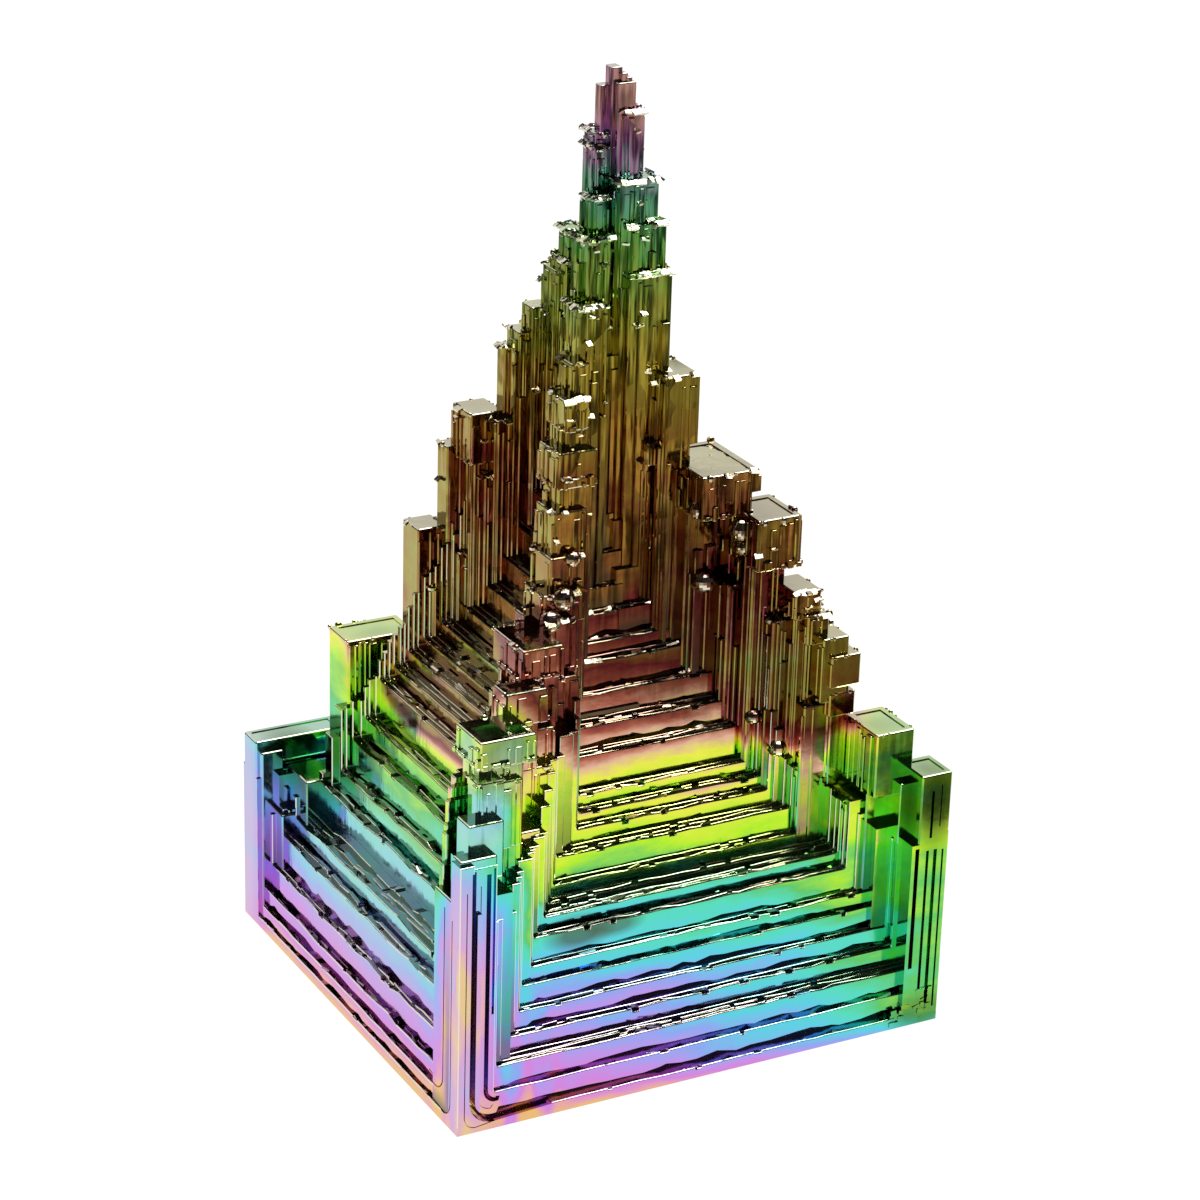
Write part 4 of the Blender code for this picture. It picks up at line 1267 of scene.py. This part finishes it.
def film_thickness(add, place, axes, facing):
    """The film's thickness, as a place on the colour scale."""
    # By height, with one curve for the long faces and one for the short faces.
    height = add("Math", {"operation": "DIVIDE"}, (axes["Z"], TALLEST * MM))
    curves = []
    for face in ("south", "west"):
        curve = add("FloatCurve", None, {"Value": height})
        mapping = curve.node.mapping
        points = mapping.curves[0].points
        (_, lowest), *between, (_, highest) = FILM_BY_HEIGHT[face]
        points[0].location = (0.0, lowest)
        for level, scale in between:
            points.new(level / TALLEST, scale)
        points[-1].location = (1.0, highest)
        for point in points:
            point.handle_type = "VECTOR"
        mapping.update()
        curves.append(curve)
    short_side = add("Math", ABOVE, (add("Math", SIZE, (facing["X"],)), 0.5))
    film = add("Mix", FLOATS, {0: short_side, 2: curves[0], 3: curves[1]})

    # Low on the long faces the film thickens from left to right.
    low_down = add("MapRange", None, (axes["Z"], 2 * MM, 19 * MM, 1.0, 0.0))
    rightward = add("MapRange", None, (axes["X"], -15 * MM, 19 * MM, 0.0, 1.0))
    rightward = add("Math", {"operation": "POWER"}, (rightward, 1.7))
    long_side = add("Math", MINUS, (1.0, short_side))
    most = add("Math", TIMES, (long_side, 0.38))
    shift = add("Math", TIMES, (add("Math", TIMES, (low_down, rightward)), most))
    film = add("Math", PLUS, (film, shift))

    # Each wall's film is a little thicker at its top, and no two walls are quite alike.
    rise, layer = (add("Attribute", {"attribute_name": name}, output="Fac") for name in ("rise", "layer"))
    calm = add("MapRange", None, (axes["Z"], 24 * MM, 52 * MM, 1.0, 0.35))
    uneven = add("Math", TIMES, (add("Math", MINUS, (rise, 0.5)), 0.07))
    uneven = add("Math", PLUS, (uneven, add("MapRange", None, (layer, 0.0, 1.0, -0.03, 0.03))))
    film = add("Math", PLUS, (film, add("Math", TIMES, (uneven, calm))))

    # In places the film grew thinner or thicker than its height alone would give.
    for middle, size, target, strength in FILM_PLACES:
        share = share_near(add, place, middle, size, strength)
        film = add("Mix", FLOATS, {0: share, 2: film, 3: target})

    # Patches drawn out along the ledges: the film didn't grow evenly.
    stretched = add("Mapping", None, {"Vector": place, "Scale": (1.0, 1.0, 2.6)})
    patches = {"Vector": stretched, "Scale": 1 / (PATCH * MM), "Detail": 4.0, "Roughness": 0.6}
    patches = add("MapRange", None, (add("TexNoise", None, patches), 0.25, 0.75, -0.05, 0.05))
    film = add("Math", PLUS, (film, add("Math", TIMES, (patches, calm))))

    # On the strips of the front corner the film runs down in drops, each with a rim of another colour.
    drawn = add("Mapping", None, {"Vector": place, "Scale": (1.0, 1.0, 0.28)})
    drops = {"Vector": drawn, "Scale": 1 / (DROP * MM), "Detail": 1.0, "Roughness": 0.5}
    drops = add("MapRange", None, (add("TexNoise", None, drops), 0.3, 0.7, -0.12, 0.12))
    flattened = add("VectorMath", TIMES, (place, (1.0, 1.0, 0.0)))
    middle = [value * MM for value in DROPS_MIDDLE]
    away = add("VectorMath", {"operation": "DISTANCE"}, (flattened, middle), "Value")
    near = add("MapRange", None, (away, DROPS_REACH[0] * MM, DROPS_REACH[1] * MM, 1.0, 0.0))
    near = add("Math", TIMES, (near, add("MapRange", None, (axes["Z"], 13 * MM, 18 * MM, 1.0, 0.15))))
    return add("Math", PLUS, (film, add("Math", TIMES, (near, drops))))


def painted_highlight_share(add, place, facing):
    """How much painted highlight a facet gets: most on edges, drops and chips, and least on upright edges."""
    sizes = [add("Math", SIZE, (facing[axis],)) for axis in "XYZ"]
    straight = add("Math", HIGHER, (add("Math", HIGHER, (sizes[0], sizes[1])), sizes[2]))
    glints = {"Vector": place, "Scale": 1 / (GLINT * MM), "Detail": 2.0, "Roughness": 0.6}
    glints = add("MapRange", None, (add("TexNoise", None, glints), 0.48, 0.60, 0.12, 1.0))
    painted_highlight = add("Math", TIMES, (add("MapRange", None, (straight, 0.985, 0.94, 0.0, 0.65)), glints))
    painted_highlight = add("Math", TIMES, (painted_highlight, add("MapRange", None, (sizes[2], 0.1, 0.3, 0.1, 1.0))))
    leaning = [add("MapRange", None, (straight, *ends, 0.0, 0.8)) for ends in ((0.96, 0.93), (0.76, 0.80))]
    return add("Math", HIGHER, (painted_highlight, add("Math", LOWER, leaning)))


def oxidised_bismuth(colours):
    """Bismuth as grown, with an oxide film: mirror-bright metal whose film splits the light into colours."""
    material, surface = new_material("bismuth_as_grown_with_oxide_film")
    tree = material.node_tree
    add = partial(add_node, tree)
    place = add("TexCoord", output="Object")
    axes = add("SeparateXYZ", None, (place,)).node.outputs
    facing = add("SeparateXYZ", None, (add("NewGeometry", output="True Normal"),)).node.outputs

    colour = add("ValToRGB", None, (film_thickness(add, place, axes, facing),))
    stops = colour.node.color_ramp.elements
    stops.remove(stops[1])
    for number, (name, position) in enumerate(FILM_STOPS):
        stop = stops[0] if number == 0 else stops.new(position)
        stop.position = position
        stop.color = (*getattr(colours, name), 1.0)

    # Flat tops are painted pale as a painted sheen, some places have a tint of their own, painted shade or
    # painted light, the fine steps of the ledges are darkened as crumbled metal and painted shade, and edges,
    # drops and chips get a painted highlight.
    crumb = add("Attribute", {"attribute_name": "crumb"}, output="Fac")
    tints = [(add("Math", TIMES, (add("Math", ABOVE, (facing["Z"], 0.95)), TOP_SHEEN)), "pale_metal_and_sheen")]
    tints += [(share_near(add, place, middle, size, strength), name)
              for middle, size, name, strength in TINTED_PLACES]
    tints += [(add("Math", TIMES, (crumb, CRUMBS_AND_SHADE_SHARE)), "crumbs"), (painted_highlight_share(add, place, facing), "painted_highlight")]
    for share, name in tints:
        colour = add("Mix", COLOURS, {0: share, 6: colour, 7: (*getattr(colours, name), 1.0)}, 2)

    # The metal froze slightly uneven: slow waves, far too low to see but in reflections.
    waves = {"Vector": place, "Scale": 1 / (WAVE * MM), "Detail": 2.0, "Roughness": 0.5}
    waves = add("TexNoise", None, waves)
    relief = add("Bump", None, {"Strength": 0.3, "Distance": 0.02 * MM, "Height": waves})
    # High up, the blocks are bundles of fine upright rods that never quite line up.
    upright = add("Mapping", None, {"Vector": place, "Scale": (1.0, 1.0, 0.14)})
    rods = {"Vector": upright, "Scale": 1 / (ROD * MM), "Detail": 1.5, "Roughness": 0.5}
    rods = add("TexNoise", None, rods)
    rods = add("Math", TIMES, (rods, add("MapRange", None, (axes["Z"], 28 * MM, 44 * MM, 0.12, 1.0))))
    bunches = {"Vector": place, "Scale": 1 / (BUNCH * MM), "Detail": 1.0, "Roughness": 0.5}
    bunches = add("MapRange", None, (add("TexNoise", None, bunches), 0.38, 0.62, 0.15, 1.5))
    rods = add("Math", TIMES, (rods, bunches))
    relief = add("Bump", None, {"Strength": 1.0, "Distance": 0.13 * MM, "Height": rods, "Normal": relief})

    tree.links.new(colour, surface["Base Color"])
    tree.links.new(relief, surface["Normal"])
    tree.links.new(add("MapRange", None, (waves, 0.3, 0.7, 0.06, 0.16)), surface["Roughness"])
    surface["Metallic"].default_value = 1.0
    return material


FLOOR_GLOW = 1.06  # strength of the floor's own light


def lit_table(name, colour):
    """The milk-glass top of a light table: an even pale field without shadows, for the metal to reflect."""
    material, surface = new_material(name)
    for socket, value in (
        ("Base Color", (0.02, 0.02, 0.02, 1.0)), ("Roughness", 1.0), ("Specular IOR Level", 0.0),
        ("Emission Color", (*colour, 1.0)), ("Emission Strength", FLOOR_GLOW),
    ):
        surface[socket].default_value = value
    return material


# ---------------------------------------------------------------- pieces


class CRYSTAL_OT_terraces(bpy.types.Operator):
    """Grow the four faces: flights of terraces whose walls are thin sheets with U-shaped edges"""

    bl_idname = "crystal.terraces"
    bl_label = "Terraced Faces"

    def execute(self, context):
        keep_solids("base", [block(-HALF_X, HALF_X, -HALF_Y, HALF_Y, 0.0, SLAB_TOP, SLAB_EDGE)])
        for number, face in enumerate(FACES):
            rng = random.Random(SEEDS["terraces"] + number)
            keep_solids(f"{face}_terraces", terrace_solids(face, context.scene.crystal_sizes, rng))
            keep_solids(f"{face}_chips", ledge_chips(face, rng))
            keep_solids(f"{face}_gaps", undercuts(face, rng), HOLLOWS)
        keep_solids("foot", crumbled_foot(random.Random(SEEDS["foot"])))
        slots = [block(*slot, SLOT_EDGE) for slot in SLOTS]
        keep_solids("grooves", engraved_lines() + slots, HOLLOWS)
        return {"FINISHED"}


class CRYSTAL_OT_ridges(bpy.types.Operator):
    """Grow the ridges on the diagonals: stacks of square blocks with sunken tops"""

    bl_idname = "crystal.ridges"
    bl_label = "Corner Ridges"

    def execute(self, context):
        keep_solids("ridges", ridge_solids(context.scene.crystal_sizes, random.Random(SEEDS["ridges"])))
        hollows = [block(x0, x1, y0, y1, floor, floor + PIT_CUT, PIT_EDGE) for x0, x1, y0, y1, floor in PITS]
        keep_solids("pits", hollows, HOLLOWS)
        return {"FINISHED"}


class CRYSTAL_OT_spire(bpy.types.Operator):
    """Grow the spire: a bundle of thin square columns"""

    bl_idname = "crystal.spire"
    bl_label = "Spire"

    def execute(self, context):
        keep_solids("spire", spire_solids(context.scene.crystal_sizes, random.Random(SEEDS["spire"])))
        return {"FINISHED"}


class CRYSTAL_OT_beads(bpy.types.Operator):
    """Freeze beads of melt onto the crystal"""

    bl_idname = "crystal.beads"
    bl_label = "Frozen Beads"

    def execute(self, context):
        rng = random.Random(SEEDS["beads"])
        keep_solids("beads", [ball((x, y, z), radius, rng) for x, y, z, radius in BEADS])
        return {"FINISHED"}


class CRYSTAL_OT_grow(bpy.types.Operator):
    """Grow all the solids together into one crystal, and give it its film"""

    bl_idname = "crystal.grow"
    bl_label = "Grow Together"

    def execute(self, context):
        crystal = grow_together("crystal")
        store_layers(crystal)
        crystal.data.materials.clear()
        crystal.data.materials.append(oxidised_bismuth(context.scene.crystal_film))
        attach(crystal, BODY)
        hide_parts(NODE)
        return {"FINISHED"}


# The two discs of the floor, in metres.
NEAR_FLOOR_MIDDLE = (-0.015, 0.035)
NEAR_FLOOR_RADIUS = 0.099
FAR_FLOOR_RADIUS = 4.0
FLOOR_STEP = 0.02  # how far the far floor lies below the near one, in millimetres


def disc(name, middle, radius, height, paint, corners=96):
    """A level disc of the stage."""
    angles = [2 * math.pi * number / corners for number in range(corners)]
    points = [(middle[0] + radius * math.cos(a), middle[1] + radius * math.sin(a), height) for a in angles]
    mesh = bpy.data.meshes.new(name)
    mesh.from_pydata(points, [], [tuple(range(corners))])
    mesh.materials.append(paint)
    thing = bpy.data.objects.new(name, mesh)
    bpy.context.scene.collection.objects.link(thing)
    return thing


WALL_DIRECTION = (0.44, 0.80, 0.40)  # where the pale wall stands, as seen from the crystal
WALL_EDGE = (0.72, 0.93)  # cosines from that direction between which the pale wall fades in
HORIZON = (0.05, -0.12)  # heights between which the room's lower part fades in
BANDS = (8.0, -2.28)  # how many light bands stand round the crystal, and their turn in radians
BAND_LIGHT = (0.18, 1.9)  # how light the room is between them and in them


def pale_wall(tree, settings):
    """The room around the crystal: unlit above, banded with light below, and a pale wall behind."""
    add = partial(add_node, tree)
    direction = add("TexCoord", output="Generated")
    axes = add("SeparateXYZ", None, (direction,)).node.outputs
    towards = add("VectorMath", {"operation": "DOT_PRODUCT"}, (direction, WALL_DIRECTION), "Value")
    behind = add("MapRange", {"interpolation_type": "SMOOTHSTEP"}, (towards, *WALL_EDGE))
    low = add("MapRange", None, (axes["Z"], *HORIZON))
    azimuth = add("Math", {"operation": "ARCTAN2"}, (axes["X"], axes["Y"]))
    turns = add("Math", {"operation": "MULTIPLY_ADD"}, (azimuth, *BANDS))
    waves = add("Math", {"operation": "SINE"}, (turns,))
    share = add("MapRange", None, (waves, -1.0, 1.0, *BAND_LIGHT))
    ground = add("VectorMath", {"operation": "SCALE"}, {0: settings.ground, "Scale": share})
    room = add("Mix", COLOURS, {0: low, 6: (*settings.sky, 1.0), 7: ground}, 2)
    colour = add("Mix", COLOURS, {0: behind, 6: room, 7: (*settings.wall, 1.0)}, 2)
    tree.links.new(colour, tree.nodes["Background"].inputs["Color"])


# Lamps: place and target in metres, and length of a side.
LAMPS = {
    "overhead": ((0.28, 0.04, 0.8), (0.0, 0.0, 0.0), 0.9),
    "rim": ((-0.30, 0.62, 0.37), (0.0, 0.0, 0.0), 0.5),
    "front": ((0.32, -0.28, 0.62), (0.0, 0.0, 0.03), 0.22),
}


def area_light(name, place, target, size, power):
    """A square lamp at a place in metres, turned to a target."""
    light = bpy.data.lights.new(name, "AREA")
    light.shape = "SQUARE"
    light.size = size
    light.energy = power
    lamp = bpy.data.objects.new(name, light)
    lamp.location = place
    lamp.rotation_euler = (Vector(target) - Vector(place)).to_track_quat("-Z", "Y").to_euler()
    bpy.context.scene.collection.objects.link(lamp)


# The camera: angles in degrees, its place in metres, its lens and sensor in millimetres.
CAMERA_AZIMUTH = -28.70
CAMERA_ELEVATION = 22.54
CAMERA_ROLL = 1.675
CAMERA_PLACE = (-0.1199, -0.2201, 0.1343)
CAMERA_LENS = 110.4
CAMERA_SENSOR = 36.0


def add_camera(scene):
    """The camera, turned by its azimuth, elevation and roll."""
    azimuth, elevation, roll = map(math.radians, (CAMERA_AZIMUTH, CAMERA_ELEVATION, CAMERA_ROLL))
    back = Vector((
        math.sin(azimuth) * math.cos(elevation),
        -math.cos(azimuth) * math.cos(elevation),
        math.sin(elevation),
    ))
    level = (-back).cross(Vector((0, 0, 1))).normalized()
    upright = level.cross(-back)
    right = math.cos(roll) * level + math.sin(roll) * upright
    up = -math.sin(roll) * level + math.cos(roll) * upright
    data = bpy.data.cameras.new("camera")
    data.lens = CAMERA_LENS
    data.sensor_width = CAMERA_SENSOR
    data.clip_start = 0.01
    camera = bpy.data.objects.new("camera", data)
    camera.matrix_world = Matrix.Translation(CAMERA_PLACE) @ Matrix((right, up, back)).transposed().to_4x4()
    scene.collection.objects.link(camera)
    scene.camera = camera


class CRYSTAL_OT_stage(bpy.types.Operator):
    """Set up the floor, the lights and the camera"""

    bl_idname = "crystal.stage"
    bl_label = "Stage"

    def execute(self, context):
        settings = context.scene.crystal_stage
        scene = context.scene
        paint = lit_table("milk_glass_floor", settings.floor)
        # The metal reflects only the near part of the floor, whose front edge is close to the crystal. What
        # is beyond it is hidden from reflections, so the upper walls mirror the room.
        disc("near_floor", NEAR_FLOOR_MIDDLE, NEAR_FLOOR_RADIUS, 0.0, paint)
        disc("far_floor", (0.0, 0.0), FAR_FLOOR_RADIUS, -FLOOR_STEP * MM, paint).visible_glossy = False

        scene.world = bpy.data.worlds.new("unlit_room")
        scene.world.use_nodes = True
        pale_wall(scene.world.node_tree, settings)
        for name, (lamp_place, target, size) in LAMPS.items():
            area_light(f"{name}_light", lamp_place, target, size, getattr(settings, name))
        add_camera(scene)
        scene.view_settings.view_transform = "Standard"
        return {"FINISHED"}


class CRYSTAL_PT_panel(bpy.types.Panel):
    """The crystal's pieces and settings"""

    bl_label = "Bismuth Hopper Crystal"
    bl_idname = "CRYSTAL_PT_panel"
    bl_space_type = "VIEW_3D"
    bl_region_type = "UI"
    bl_category = "Crystal"

    def draw(self, context):
        layout = self.layout
        for operator in OPERATORS:
            layout.operator(operator.bl_idname)
        for group in (context.scene.crystal_sizes, context.scene.crystal_film, context.scene.crystal_stage):
            box = layout.box()
            for name in group.__annotations__:
                box.prop(group, name)


OPERATORS = (
    CRYSTAL_OT_terraces, CRYSTAL_OT_ridges, CRYSTAL_OT_spire, CRYSTAL_OT_beads, CRYSTAL_OT_grow,
    CRYSTAL_OT_stage,
)
GROUPS = (CrystalSizes, FilmColours, StageSettings)


def register():
    for one in GROUPS + OPERATORS + (CRYSTAL_PT_panel,):
        bpy.utils.register_class(one)
    bpy.types.Scene.crystal_sizes = bpy.props.PointerProperty(type=CrystalSizes)
    bpy.types.Scene.crystal_film = bpy.props.PointerProperty(type=FilmColours)
    bpy.types.Scene.crystal_stage = bpy.props.PointerProperty(type=StageSettings)


def unregister():
    del bpy.types.Scene.crystal_sizes
    del bpy.types.Scene.crystal_film
    del bpy.types.Scene.crystal_stage
    for one in reversed(GROUPS + OPERATORS + (CRYSTAL_PT_panel,)):
        bpy.utils.unregister_class(one)


def write_sizes():
    """Bring the view layer up to date."""
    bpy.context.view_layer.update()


def main():
    register()
    bpy.ops.crystal.terraces()
    bpy.ops.crystal.ridges()
    bpy.ops.crystal.spire()
    bpy.ops.crystal.beads()
    bpy.ops.crystal.grow()
    bpy.ops.crystal.stage()
    write_sizes()


if __name__ == "__main__":
    main()
